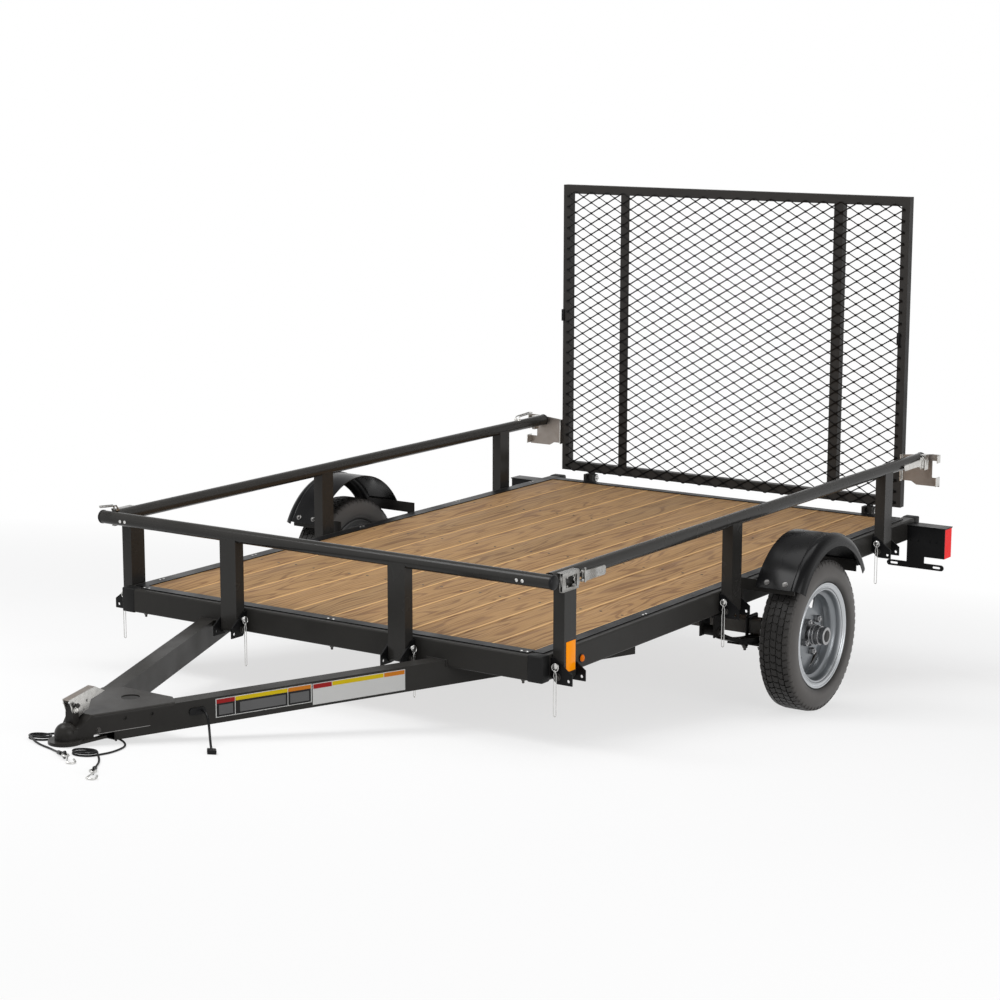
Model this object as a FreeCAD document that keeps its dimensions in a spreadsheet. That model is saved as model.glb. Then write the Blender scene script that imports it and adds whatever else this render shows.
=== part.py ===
import FreeCAD, Part
import math
import os
import re
import Sketcher
from FreeCAD import Placement, Rotation, Vector

# Utility trailer, 5 by 8 feet, with a mesh ramp gate and fold-down rails.
# Millimetres. The trailer is drawn level: +X forward to the coupler, +Y to its
# left side, +Z up, X = 0 at the rear edge of the deck, Z = 0 at the deck's top.
# It has no jack, so at the end every piece is turned nose down together, until
# both tyres and the coupler's lip stand on the floor.

SIZES = {
    # frame
    "deck_length": 2434,
    "frame_half_width": 811,
    "tube_height": 76,
    "tube_width": 51,
    "tube_wall": 3,
    "tube_corner": 6,
    "tube_rear_reach": 104,
    "cap_wall": 2,
    "cap_length": 40,
    "cross_share": 0.262942,
    "cross_wall": 5,
    # deck
    "board_thickness": 38,
    "board_gap": 1.5,
    "board_end_gap": 2,
    "board_side_gap": 3,
    "strip_thickness": 3,
    "strip_width": 38,
    "strip_overlap": 6,
    "strip_end_gap": 1,
    # tongue, seen from above: the outer faces meet ahead of the plate by tongue_point_reach
    "tongue_spread": 477,
    "tongue_point_reach": 101,
    "tongue_top_drop": 55,
    "tongue_tip_inset": 60,
    "tongue_tail_lap": 70,
    "tongue_notch_gap": 0.5,
    # coupler
    "plate_ahead": 1035,
    "plate_thickness": 4,
    "plate_length": 263,
    "plate_rear_half_width": 95,
    "plate_side_length": 223,
    "plate_flange_length": 159,
    "plate_flange_drop": 51,
    "plate_corner": 8,
    "plate_hole_radius": 27,
    "plate_hole_inset": 195,
    "plate_bolt_radius": 5,
    "plate_bolt_inset": 85,
    "plate_bolt_pitch": 73,
    "plate_bolt_drop": 17.5,
    "dome_reach": 59,
    "dome_drop": 95,
    "dome_radius": 30,
    "socket_radius": 26,
    "lip_radius": 48,
    "lip_thickness": 9,
    "lip_drop": 25,
    "skirt_thickness": 7,
    "skirt_length": 93,
    "skirt_front_half_width": 46,
    "skirt_rear_half_width": 62,
    "neck_length": 43,
    "neck_saddle_drop": 82,
    "neck_half_width": 30,
    "post_half_width": 14,
    "post_length": 22,
    "post_gap": 0.4,
    "latch_width": 38,
    "latch_wall": 3,
    "latch_nose": 61,
    "latch_toe": 42,
    "latch_heel": 7,
    "latch_tip": 73,
    "latch_top_rise": 54,
    "latch_toe_drop": 6,
    "latch_heel_rise": 13,
    "latch_shelf_rise": 33,
    "latch_tip_rise": 44,
    "latch_pivot_ahead": 32,
    "latch_pivot_rise": 15,
    "latch_pivot_radius": 4,
    "latch_hole_rise": 31,
    "latch_hole_radius": 3,
    # axle, springs and wheels
    "axle_share": 0.45604,
    "axle_drop": 184,
    "axle_side": 51,
    "axle_wall": 5,
    "axle_end_inset": 141,
    "spring_seat_gap": 0.6,
    "spindle_radius": 17,
    "leaf_width": 44,
    "leaf_thickness": 7,
    "leaf_half_span": 330,
    "leaf_arch_radius": 700,
    "leaf_step": 75,
    "eye_radius": 17,
    "eye_bore_radius": 7,
    "hanger_wall": 5,
    "hanger_length": 62,
    "hanger_gap": 1,
    "clamp_plate_thickness": 8,
    "clamp_plate_length": 110,
    "clamp_bolt_radius": 6,
    "clamp_gap": 0.4,
    "tyre_radius": 254,
    "tyre_reach": 219,
    "tyre_width": 124,
    "tyre_crown_drop": 4,
    "tyre_tread_width": 96,
    "tyre_shoulder_depth": 16,
    "bead_radius": 160,
    "rim_radius": 176,
    "rim_wall": 5,
    "rim_width": 106,
    "rim_well_depth": 22,
    "rim_gap": 0.4,
    "disc_inset": 44,
    "disc_dish": 16,
    "disc_thickness": 6,
    "disc_bore_radius": 42,
    "window_inner_radius": 84,
    "window_outer_radius": 134,
    "window_half_width": 30,
    "hub_flange_radius": 66,
    "hub_flange_thickness": 12,
    "hub_barrel_radius": 33,
    "hub_cap_radius": 28,
    "hub_reach": 5,
    "hub_inner_reach": 34,
    "spindle_gap": 1,
    "lug_radius": 10,
    "lug_circle_radius": 57,
    "lug_height": 16,
    "sidewall_low_share": 0.28,
    "sidewall_high_share": 0.5,
    # fenders
    "fender_stand_off": 85,
    "fender_width": 165,
    "fender_radius": 276,
    "fender_centre_drop": 118,
    "fender_wall": 3,
    "fender_angle": 124,
    "fender_lip_drop": 33,
    "fender_bead_height": 3,
    "fender_bead_width": 10,
    "fender_bead_inset": 22,
    "arm_height": 38,
    "arm_wall": 5,
    "arm_width": 30,
    "arm_place_share": 0.826,
    # rails: upright posts in brackets that hinge on a bolt
    "rail_height": 232,
    "rail_radius": 21,
    "rail_wall": 3,
    "rail_corner_gap": 5,
    "rail_rear_end": -46,
    "post_depth": 38,
    "post_width": 63.5,
    "post_wall": 3,
    "post_stand_off": 24,
    "corner_post_inset": 32,
    "mid_post_reach": 293,
    "rear_post_ahead": 263,
    "front_post_aside": 325,
    "pivot_drop": 62,
    "pivot_radius": 5.5,
    "pivot_gap": 0.8,
    "ear_thickness": 4,
    "ear_gap": 2,
    "ear_reach": 74,
    "ear_top_drop": 8,
    "ear_top_width": 14,
    "ear_nose_drop": 52,
    "ear_foot_drop": 84,
    "ear_heel": 22,
    "ear_hole_radius": 5,
    "ear_hole_inset": 13,
    "bracket_plate": 3,
    "lock_pin_drop": 29,
    "lock_pin_radius": 4.5,
    "lock_pin_length": 16,
    # gate
    "gate_side_inset": 59,
    "gate_bottom_rise": 33,
    "gate_top_rise": 1190,
    "gate_front_face": -62,
    "gate_angle_leg": 32,
    "gate_angle_wall": 4,
    "gate_upright_inset": 287,
    "gate_upright_width": 38,
    "mesh_pitch_width": 73,
    "mesh_pitch_height": 42,
    "strand_width": 5,
    "strand_thickness": 1.6,
    "strand_gap": 0.3,
    "mesh_edge_lap": 12,
    "hinge_behind": 82,
    "hinge_rise": 8,
    "hinge_pin_radius": 7,
    "hinge_inset": 191,
    "hinge_lug_width": 12,
    "hinge_lug_gap": 3,
    "hinge_lug_radius": 16,
    "catch_thickness": 4,
    "catch_rise": 140,
    "catch_height": 96,
    "catch_width": 123,
    "catch_arm_reach": 30,
    "catch_arm_height": 32,
    "catch_lap": 12,
    # toggle latches on the rails
    "toggle_length": 105,
    "toggle_width": 26,
    "toggle_height": 12,
    "toggle_end_gap": 8,
    # lamps
    "lamp_gap": 5,
    "lamp_width": 145,
    "lamp_top_drop": 18,
    "lamp_height": 112,
    "lamp_plate_thickness": 3,
    "lamp_plate_behind": 4,
    "lamp_housing_depth": 30,
    "lens_depth": 28,
    "lens_side": 25,
    "number_strip_length": 228,
    "number_strip_height": 22,
    "number_strip_thickness": 3,
    "number_strip_drop": 154,
    "number_slot_length": 26,
    "number_slot_height": 8,
    "number_neck_width": 70,
    "marker_radius": 11,
    "marker_thickness": 8,
    "marker_inset": 162,
    "marker_drop": 45,
    # wiring and safety cables
    "grommet_inset": 287,
    "grommet_drop": 86,
    "grommet_length": 56,
    "grommet_height": 20,
    "grommet_end_radius": 10.6,
    "grommet_thickness": 4,
    "wire_exit_behind": 14,
    "wire_diameter": 7,
    "plug_length": 46,
    "plug_width": 25,
    "plug_height": 11,
    "plug_neck_radius": 5,
    "plug_neck_length": 9,
    "plug_corner": 2,
    "cable_diameter": 6,
    "anchor_inset": 95,
    "anchor_drop": 137,
    "anchor_shank_radius": 5,
    "anchor_side": 22,
    "anchor_height": 12,
    "coil_radius": 32,
    "coil_height": 13,
    "ferrule_radius": 5.5,
    "ferrule_length": 28,
    "loop_radius": 8,
    "loop_length": 31,
    "hook_wire_radius": 2.8,
    "hook_eye_radius": 8.2,
    "hook_bend_radius": 13,
    "hook_length": 46,
    "hook_tip_length": 14,
    "hook_play": 0.2,
}

# Places that follow other sizes, each by a named clearance or share.
PLACES = {
    "cross_pitch": "deck_length * cross_share",
    "axle_ahead": "deck_length * axle_share",
    "tongue_reach": "plate_ahead + tongue_point_reach",
    "tongue_tip": "plate_ahead - tongue_tip_inset",
    "tongue_tail": "deck_length + tube_width - 3 * cross_pitch + tongue_tail_lap",
    "dome_ahead": "plate_ahead + dome_reach",
    "grommet_ahead": "plate_ahead - grommet_inset",
    "anchor_ahead": "plate_ahead - anchor_inset",
    "tyre_outer_face": "frame_half_width + tyre_reach",
    "axle_half_length": "tyre_outer_face - axle_end_inset",
    "fender_inner_face": "frame_half_width + fender_stand_off",
    "fender_outer_face": "fender_inner_face + fender_width",
    "corner_post_ahead": "deck_length - corner_post_inset",
    "mid_post_ahead": "axle_ahead + mid_post_reach",
    "gate_half_width": "frame_half_width - gate_side_inset",
    "gate_upright_aside": "gate_half_width - gate_upright_inset",
    "hinge_aside": "frame_half_width - hinge_inset",
    "lamp_inner_face": "frame_half_width + lamp_gap",
    "lamp_outer_face": "lamp_inner_face + lamp_width",
    "marker_ahead": "deck_length - marker_inset",
}

# One length by which a cutting shape runs past what it cuts.
SIZES["cut_overrun"] = 10

# How near a point must lie to a plane to count as on it.
SIZES["fit"] = 0.01

doc = FreeCAD.newDocument("UtilityTrailer")
sheet = doc.addObject("Spreadsheet::Sheet", "Sizes")
for row, (alias, number) in enumerate(SIZES.items(), start=1):
    sheet.set(f"A{row}", alias)
    sheet.set(f"B{row}", str(number))
    sheet.setAlias(f"B{row}", alias)
doc.recompute()

BOARD_COUNT = 10
WINDOW_COUNT = 5
LEAF_COUNT = 3
BOLT_COUNT = 2
HALF_SHARE = 0.5
SETBACK_SHARE = 0.45
EYE_SWEEP = 310
FULL_TURN = 360
NODES = {}


def size(alias):
    """The number of one of the sheet's aliases or of a place that follows them."""
    return number(alias)


def prefixed(word):
    """An alias with the sheet's name before it, a place written out, or another word as it is."""
    if word in PLACES:
        return f"({bound(PLACES[word])})"
    return f"Sizes.{word}" if word in SIZES else word


def bound(text):
    """The same expression with each alias pointing at the sheet."""
    return re.sub(r"[a-z][a-z_]+", lambda word: prefixed(word.group(0)), text)


def number(text):
    """The value of an expression of aliases."""
    return float(sheet.evalExpression(bound(text)))


def bind(item, prop, text):
    """Ties one property of an object to an expression of aliases."""
    item.setExpression(prop, bound(text))


def keep(label, item):
    """Makes an object one of the trailer's pieces."""
    item.Label = label
    NODES[label] = item
    return item


def block(name, centre, extent):
    """A box by its centre and its extent along X, Y and Z."""
    item = doc.addObject("Part::Box", name)
    for prop, text in zip(("Length", "Width", "Height"), extent):
        bind(item, prop, text)
    for axis, middle, text in zip("xyz", centre, extent):
        bind(item, f".Placement.Base.{axis}", f"({middle}) - ({text}) / 2")
    return item


def slab(name, low, high):
    """A box by its lowest and its highest corner."""
    item = doc.addObject("Part::Box", name)
    for prop, start, end in zip(("Length", "Width", "Height"), low, high):
        bind(item, prop, f"({end}) - ({start})")
    for axis, start in zip("xyz", low):
        bind(item, f".Placement.Base.{axis}", start)
    return item


TURNS = {
    "X": Rotation(Vector(0, 1, 0), FULL_TURN / 4),
    "Y": Rotation(Vector(1, 0, 0), -FULL_TURN / 4),
    "Z": Rotation(),
}


def rod(name, start, axis, radius, length):
    """A round bar from its start along one axis."""
    item = doc.addObject("Part::Cylinder", name)
    bind(item, "Radius", radius)
    bind(item, "Height", length)
    item.Placement.Rotation = TURNS[axis]
    for letter, text in zip("xyz", start):
        bind(item, f".Placement.Base.{letter}", text)
    return item


def ball(name, centre, radius):
    """A sphere by its centre."""
    item = doc.addObject("Part::Sphere", name)
    bind(item, "Radius", radius)
    for letter, text in zip("xyz", centre):
        bind(item, f".Placement.Base.{letter}", text)
    return item


def fuse(name, items):
    """One solid out of several."""
    item = doc.addObject("Part::MultiFuse", name)
    item.Shapes = items
    return item


def cut(name, base, tools):
    """A shape less one or more others."""
    item = doc.addObject("Part::Cut", name)
    item.Base = base
    item.Tool = tools[0] if len(tools) == 1 else fuse(name + "Tools", tools)
    return item


def group(name, items):
    """Several solids of one piece that stay apart."""
    item = doc.addObject("Part::Compound", name)
    item.Links = items
    return item


PLANE_ROLES = {"plan": "XY_Plane", "side": "XZ_Plane", "end": "YZ_Plane"}


def new_body(name):
    """An empty body for sketched features."""
    return doc.addObject("PartDesign::Body", name)


def circle(centre_x, centre_y, radius):
    """A round outline for a sketch."""
    return ("circle", centre_x, centre_y, radius)


def sketch(body, name, plane, start, outlines, shift=("0", "0")):
    """A sketch on one of the body's planes, start being its place along X, Y or Z.

    An outline is a list of corner points, as expressions, or a circle. A corner with
    a radius and a side starts an arc, whose centre lies to that side of its chord.
    """
    item = body.newObject("Sketcher::SketchObject", name)
    planes = [part for part in body.Origin.OriginFeatures if part.Role == PLANE_ROLES[plane]]
    item.AttachmentSupport = [(planes[0], "")]
    item.MapMode = "FlatFace"
    sign = "-" if plane == "side" else ""
    bind(item, ".AttachmentOffset.Base.x", shift[0])
    bind(item, ".AttachmentOffset.Base.y", shift[1])
    bind(item, ".AttachmentOffset.Base.z", f"{sign}({start})")
    for outline in outlines:
        if outline[0] == "circle":
            add_circle(item, *outline[1:])
        else:
            add_corners(item, outline)
    return item


def add_circle(item, centre_x, centre_y, radius):
    """Adds a circle whose centre and radius follow the sheet."""
    middle = Vector(number(centre_x), number(centre_y), 0)
    index = item.addGeometry(Part.Circle(middle, Vector(0, 0, 1), number(radius)), False)
    tie(item, "DistanceX", index, 3, centre_x)
    tie(item, "DistanceY", index, 3, centre_y)
    bend = item.addConstraint(Sketcher.Constraint("Radius", index, number(radius)))
    bind(item, f"Constraints[{bend}]", radius)


def add_corners(item, outline):
    """Adds a closed outline whose corners and arcs follow the sheet."""
    corners = [Vector(number(corner[0]), number(corner[1]), 0) for corner in outline]
    sides = []
    for corner, start, end in zip(outline, corners, corners[1:] + corners[:1]):
        if len(corner) == 2:
            sides.append((item.addGeometry(Part.LineSegment(start, end), False), 1, 2))
        else:
            sides.append(add_arc(item, start, end, *corner[2:]))
    for (side, _, end), (following, start, _) in zip(sides, sides[1:] + sides[:1]):
        item.addConstraint(Sketcher.Constraint("Coincident", side, end, following, start))
    for (side, start, _), corner in zip(sides, outline):
        tie(item, "DistanceX", side, start, corner[0])
        tie(item, "DistanceY", side, start, corner[1])


def add_arc(item, start, end, radius, centre_side):
    """Adds an arc between two points and gives its number and its ends' numbers."""
    chord = end - start
    across = Vector(-chord.y, chord.x, 0).normalize()
    reach = math.sqrt(number(radius) ** 2 - (chord.Length / 2) ** 2)
    centre = start + chord / 2 + across * reach * (1 if centre_side == "left" else -1)
    first, last = (start, end) if centre_side == "left" else (end, start)
    angles = [math.atan2(point.y - centre.y, point.x - centre.x) for point in (first, last)]
    ring = Part.Circle(centre, Vector(0, 0, 1), number(radius))
    index = item.addGeometry(Part.ArcOfCircle(ring, *angles), False)
    bend = item.addConstraint(Sketcher.Constraint("Radius", index, number(radius)))
    bind(item, f"Constraints[{bend}]", radius)
    return (index, 1, 2) if centre_side == "left" else (index, 2, 1)


def tie(item, kind, index, point, text):
    """Holds one coordinate of a point of the sketch at an expression."""
    place = item.addConstraint(Sketcher.Constraint(kind, -1, 1, index, point, number(text)))
    bind(item, f"Constraints[{place}]", text)


def pad(body, profile, length):
    """Raises a sketch along its normal."""
    item = body.newObject("PartDesign::Pad", profile.Name + "Pad")
    item.Profile = profile
    bind(item, "Length", length)
    return item


def pocket(body, profile, length, reverse=False):
    """Sinks a sketch against its normal, or along it."""
    item = body.newObject("PartDesign::Pocket", profile.Name + "Pocket")
    item.Profile = profile
    item.Reversed = reverse
    bind(item, "Length", length)
    return item


def revolve(body, profile, angle):
    """Turns a sketch about its horizontal axis, half of the angle each way."""
    item = body.newObject("PartDesign::Revolution", profile.Name + "Turn")
    item.Profile = profile
    item.ReferenceAxis = (profile, ["H_Axis"])
    item.Midplane = True
    bind(item, "Angle", angle)
    return item


def straight_edges(shape, axis, place=None):
    """The names of the straight edges along an axis, all or those that a test picks."""
    names = []
    for index, edge in enumerate(shape.Edges, start=1):
        if isinstance(edge.Curve, Part.Line) and abs(edge.Curve.Direction[axis]) > math.cos(math.radians(1)):
            if place is None or place(edge.CenterOfMass):
                names.append(f"Edge{index}")
    return names


def round_edges(body, base, edges, radius):
    """Rounds the named edges of a body's last feature."""
    item = body.newObject("PartDesign::Fillet", base.Name + "Round")
    item.Base = (base, edges)
    bind(item, "Radius", radius)
    return item


def prism(name, plane, start, outline, length):
    """A body with one outline raised to a length."""
    body = new_body(name)
    pad(body, sketch(body, name + "Outline", plane, start, [outline]), length)
    return body


def rectangle(left, low, right, high):
    """The corners of an upright rectangle."""
    return [(left, low), (right, low), (right, high), (left, high)]


SIDES = {"left": "1", "right": "-1"}
SIGNS = {"left": 1, "right": -1}

# Places that several pieces share.
FRONT_FACE = "(deck_length + tube_width)"
INNER_FACE = "(frame_half_width - tube_width)"
TUBE_MIDDLE = "(frame_half_width - tube_width / 2)"
REAR_FACE = "(-tube_width)"
TONGUE_TOP = "(-tongue_top_drop)"
TONGUE_SLOPE = "(tongue_spread / tongue_reach)"


def box_tube(name, centre, extent, axis, wall):
    """A rectangular tube along one axis, with rounded corners."""
    along = "XYZ".index(axis)
    across, up = (1, 2) if axis == "X" else (0, 2)
    plane = "end" if axis == "X" else "side"
    low = [f"({centre[index]}) - ({extent[index]}) / 2" for index in range(3)]
    high = [f"({centre[index]}) + ({extent[index]}) / 2" for index in range(3)]
    body = new_body(name)
    start = low[along] if axis == "X" else high[along]
    outer = pad(body, sketch(body, name + "Outer", plane, start,
                             [rectangle(low[across], low[up], high[across], high[up])]), extent[along])
    doc.recompute()
    round_edges(body, outer, straight_edges(outer.Shape, along), "tube_corner")
    bore = rectangle(f"{low[across]} + {wall}", f"{low[up]} + {wall}", f"{high[across]} - {wall}",
                     f"{high[up]} - {wall}")
    pocket(body, sketch(body, name + "Bore", plane, start, [bore]), extent[along], True)
    return body


def tongue_outline(grow="0"):
    """A tongue tube's outline from above on the left side, with its slope along X."""
    slope = TONGUE_SLOPE
    across = f"(tube_width * sqrt(1 + pow({slope}; 2)))"
    tip = f"{FRONT_FACE} + tongue_tip"
    tail = f"{FRONT_FACE} - tongue_tail"
    outer_tip = f"tongue_spread - tongue_tip * {slope}"
    outer_tail = f"tongue_spread + tongue_tail * {slope}"
    return [
        (tip, f"{outer_tip} + {grow}"),
        (tail, f"{outer_tail} + {grow}"),
        (tail, f"{outer_tail} - {across} - {grow}"),
        (tip, f"{outer_tip} - {across} - {grow}"),
    ]


def mirrored(outline, side):
    """An outline in plan, on one side of the trailer."""
    return [(along, f"{SIDES[side]} * ({aside})") for along, aside in outline]


def tongue_notch(name, side):
    """What a member loses where a tongue tube passes through its lower half."""
    outline = mirrored(tongue_outline("tongue_notch_gap"), side)
    return prism(name, "plan", "-tube_height - cut_overrun", outline,
                 "tube_height - tongue_top_drop + tongue_notch_gap + cut_overrun")


def build_frame():
    """Side tubes, front, rear and cross members, and the plastic end caps."""
    length = "deck_length + tube_width + tube_rear_reach"
    middle = f"({FRONT_FACE} - tube_rear_reach) / 2"
    across = f"2 * {INNER_FACE}"
    for side, sign in SIDES.items():
        centre = (middle, f"{sign} * {TUBE_MIDDLE}", "-tube_height / 2")
        tube = box_tube("SideTube" + side, centre, [length, "tube_width", "tube_height"], "X", "tube_wall")
        keep(f"side_tube_{side}", tube)
    front = box_tube("FrontMember", ("deck_length + tube_width / 2", "0", "-tube_height / 2"),
                     ["tube_width", across, "tube_height"], "Y", "tube_wall")
    notches = [tongue_notch("FrontNotch" + side, side) for side in SIDES]
    keep("front_member", cut("FrontMemberNotched", front, notches))
    rear = box_tube("RearMember", ("-tube_width / 2", "0", "-tube_height / 2"),
                    ["tube_width", across, "tube_height"], "Y", "tube_wall")
    keep("rear_member", rear)
    build_cross_members(across)
    build_end_caps()


def build_cross_members(across):
    """Three angles under the boards, the foremost notched over the tongue."""
    angles = []
    for index in (1, 2, 3):
        front = f"{index} * cross_pitch"
        outer = slab(f"Angle{index}", (f"{front} - tube_width", f"-({across}) / 2", "-tube_height"),
                     (front, f"({across}) / 2", "-board_thickness"))
        inner = slab(f"AngleHollow{index}",
                     (f"{front} - tube_width - cut_overrun", f"-({across}) / 2 - cut_overrun",
                      "-tube_height - cut_overrun"),
                     (f"{front} - cross_wall", f"({across}) / 2 + cut_overrun",
                      "-board_thickness - cross_wall"))
        tools = [inner]
        if index == 3:
            tools += [tongue_notch("AngleNotch" + side, side) for side in SIDES]
        angles.append(cut(f"CrossAngle{index}", outer, tools))
    keep("cross_members", group("CrossMembers", angles))


def build_end_caps():
    """Sleeves that close both ends of each side tube, open towards the deck."""
    caps = []
    ends = {
        "Front": (f"{FRONT_FACE} - cap_length", f"{FRONT_FACE} + cap_wall", FRONT_FACE, "-1"),
        "Rear": ("-tube_rear_reach - cap_wall", "-tube_rear_reach + cap_length", "-tube_rear_reach", "1"),
    }
    for side, sign in SIDES.items():
        for name, (low, high, face, inward) in ends.items():
            wide = "tube_width + cap_wall"
            outer = block(f"{name}Cap{side}",
                          (f"(({low}) + ({high})) / 2", f"{sign} * ({INNER_FACE} + ({wide}) / 2)",
                           "-tube_height / 2"),
                          (f"({high}) - ({low})", wide, "tube_height + 2 * cap_wall"))
            reach = "cap_length + cut_overrun"
            bore = block(f"{name}CapBore{side}",
                         (f"({face}) + {inward} * ({reach}) / 2",
                          f"{sign} * ({TUBE_MIDDLE} - cut_overrun / 2)", "-tube_height / 2"),
                         (reach, "tube_width + cut_overrun", "tube_height"))
            caps.append(cut(f"{name}EndCap{side}", outer, [bore]))
    keep("end_caps", group("EndCaps", caps))


def build_deck():
    """Ten boards along the deck and the flat strips that hold them down."""
    span = f"(2 * ({INNER_FACE} - board_side_gap))"
    pitch = f"(({span} + board_gap) / {BOARD_COUNT})"
    boards = []
    for index in range(BOARD_COUNT):
        low = f"-{span} / 2 + {index} * {pitch}"
        boards.append(slab(f"Board{index}", ("board_end_gap", low, "-board_thickness"),
                           ("deck_length - board_end_gap", f"{low} + {pitch} - board_gap", "0")))
    keep("deck_boards", group("DeckBoards", boards))
    aside = f"{span} / 2 - strip_overlap"
    ends = {
        "Rear": ("board_end_gap + strip_overlap", "-1"),
        "Front": ("deck_length - board_end_gap - strip_overlap", "1"),
    }
    strips = []
    for side, sign in SIDES.items():
        strips.append(block(f"Strip{side}",
                            ("deck_length / 2", f"{sign} * ({aside} + strip_width / 2)",
                             "strip_thickness / 2"),
                            ("deck_length + 2 * tube_width - 2 * cap_length", "strip_width",
                             "strip_thickness")))
    for name, (edge, outward) in ends.items():
        strips.append(block(f"Strip{name}", (f"{edge} + {outward} * strip_width / 2", "0",
                                            "strip_thickness / 2"),
                            ("strip_width", f"2 * ({aside} - strip_end_gap)", "strip_thickness")))
    keep("hold_down_strips", group("HoldDownStrips", strips))


def build_tongue():
    """The two tubes of the A-shaped tongue."""
    slope = TONGUE_SLOPE
    wall = f"(tube_wall * sqrt(1 + pow({slope}; 2)))"
    low = f"{TONGUE_TOP} - tube_height"
    for side in SIDES:
        outer = prism("Tongue" + side, "plan", low, mirrored(tongue_outline(), side), "tube_height")
        tip, tail, tail_inner, tip_inner = tongue_outline()
        bore = [
            (f"{tip[0]} + cut_overrun", f"{tip[1]} - {wall} - cut_overrun * {slope}"),
            (f"{tail[0]} - cut_overrun", f"{tail[1]} - {wall} + cut_overrun * {slope}"),
            (f"{tail_inner[0]} - cut_overrun", f"{tail_inner[1]} + {wall} + cut_overrun * {slope}"),
            (f"{tip_inner[0]} + cut_overrun", f"{tip_inner[1]} + {wall} - cut_overrun * {slope}"),
        ]
        hollow = prism("TongueBore" + side, "plan", f"{low} + tube_wall", mirrored(bore, side),
                       "tube_height - 2 * tube_wall")
        keep(f"tongue_tube_{side}", cut("TongueTube" + side, outer, [hollow]))


PLATE_FRONT = f"({FRONT_FACE} + plate_ahead)"
PLATE_TOP = f"({TONGUE_TOP} + plate_thickness)"
DOME_X = f"({FRONT_FACE} + dome_ahead)"
LIP_BOTTOM = "(-dome_drop - lip_drop)"


def plate_edge(behind, inset="0"):
    """The half width of the coupler's plate at a distance behind its front edge."""
    skin = f"(plate_thickness - {inset})"
    return f"(tongue_spread - (plate_ahead - ({behind})) * {TONGUE_SLOPE} + {skin})"


def build_coupler():
    """The pressed A-frame plate, the ball socket in front of it, and its latch."""
    plate = new_body("CouplerPlate")
    outline = [(PLATE_FRONT, plate_edge("0")),
               (f"{PLATE_FRONT} - plate_side_length", plate_edge("plate_side_length")),
               (f"{PLATE_FRONT} - plate_length", "plate_rear_half_width")]
    outline += [(along, f"-{aside}") for along, aside in reversed(outline)]
    low = f"{TONGUE_TOP} - plate_flange_drop"
    profile = sketch(plate, "PlateOutline", "plan", low, [outline])
    raised = pad(plate, profile, "plate_flange_drop + plate_thickness")
    doc.recompute()
    crest = number(PLATE_TOP)
    side_corner = number(outline[1][0])
    folds = [f"Edge{index}" for index, edge in enumerate(raised.Shape.Edges, start=1)
             if abs(edge.CenterOfMass.z - crest) < size("fit")
             and abs(edge.tangentAt(edge.FirstParameter).x) > HALF_SHARE
             and edge.CenterOfMass.x > side_corner]
    round_edges(plate, raised, folds, "plate_corner")
    behind = "(plate_length + cut_overrun)"
    room = [(f"{PLATE_FRONT} + cut_overrun", plate_edge("-cut_overrun", "plate_thickness")),
            (f"{PLATE_FRONT} - {behind}", plate_edge(behind, "plate_thickness"))]
    room += [(along, f"-{aside}") for along, aside in reversed(room)]
    hollow = prism("CouplerRoom", "plan", f"{low} - cut_overrun", room, "plate_flange_drop + cut_overrun")
    slant = prism("FlangeSlant", "side", "tongue_spread",
                  [(f"{PLATE_FRONT} - plate_side_length", TONGUE_TOP),
                   (f"{PLATE_FRONT} - plate_flange_length", low),
                   (f"{PLATE_FRONT} - plate_flange_length", f"{low} - cut_overrun"),
                   (f"{PLATE_FRONT} - {behind}", f"{low} - cut_overrun"),
                   (f"{PLATE_FRONT} - {behind}", TONGUE_TOP)], "2 * tongue_spread")
    jack_hole = rod("JackHole", (f"{PLATE_FRONT} - plate_hole_inset", "0", f"{TONGUE_TOP} - cut_overrun"),
                    "Z", "plate_hole_radius", "plate_thickness + 2 * cut_overrun")
    tools = [hollow, slant, jack_hole]
    for index in range(BOLT_COUNT):
        ahead = f"{PLATE_FRONT} - plate_bolt_inset - {index} * plate_bolt_pitch"
        start = (ahead, "-tongue_spread", f"{TONGUE_TOP} - plate_bolt_drop")
        tools.append(rod(f"PlateBoltHole{index}", start, "Y", "plate_bolt_radius", "2 * tongue_spread"))
    keep("coupler_plate", cut("CouplerFrame", plate, tools))
    build_socket()
    build_latch()


def neck(name, inset, end_inset):
    """A neck that narrows and sinks from the plate towards the dome."""
    body = new_body(name)
    low = f"{LIP_BOTTOM} - {end_inset}"
    rear_half = f"{plate_edge('0')} - {inset}"
    front_half = f"neck_half_width - {inset}"
    rear = rectangle(f"-({rear_half})", low, rear_half, f"{PLATE_TOP} - {inset}")
    front = rectangle(f"-({front_half})", low, front_half, f"-neck_saddle_drop - {inset}")
    loft = body.newObject("PartDesign::AdditiveLoft", name + "Loft")
    loft.Profile = sketch(body, name + "Rear", "end", f"{PLATE_FRONT} - {end_inset}", [rear])
    loft.Sections = [sketch(body, name + "Front", "end", f"{PLATE_FRONT} + neck_length", [front])]
    return body


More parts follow.
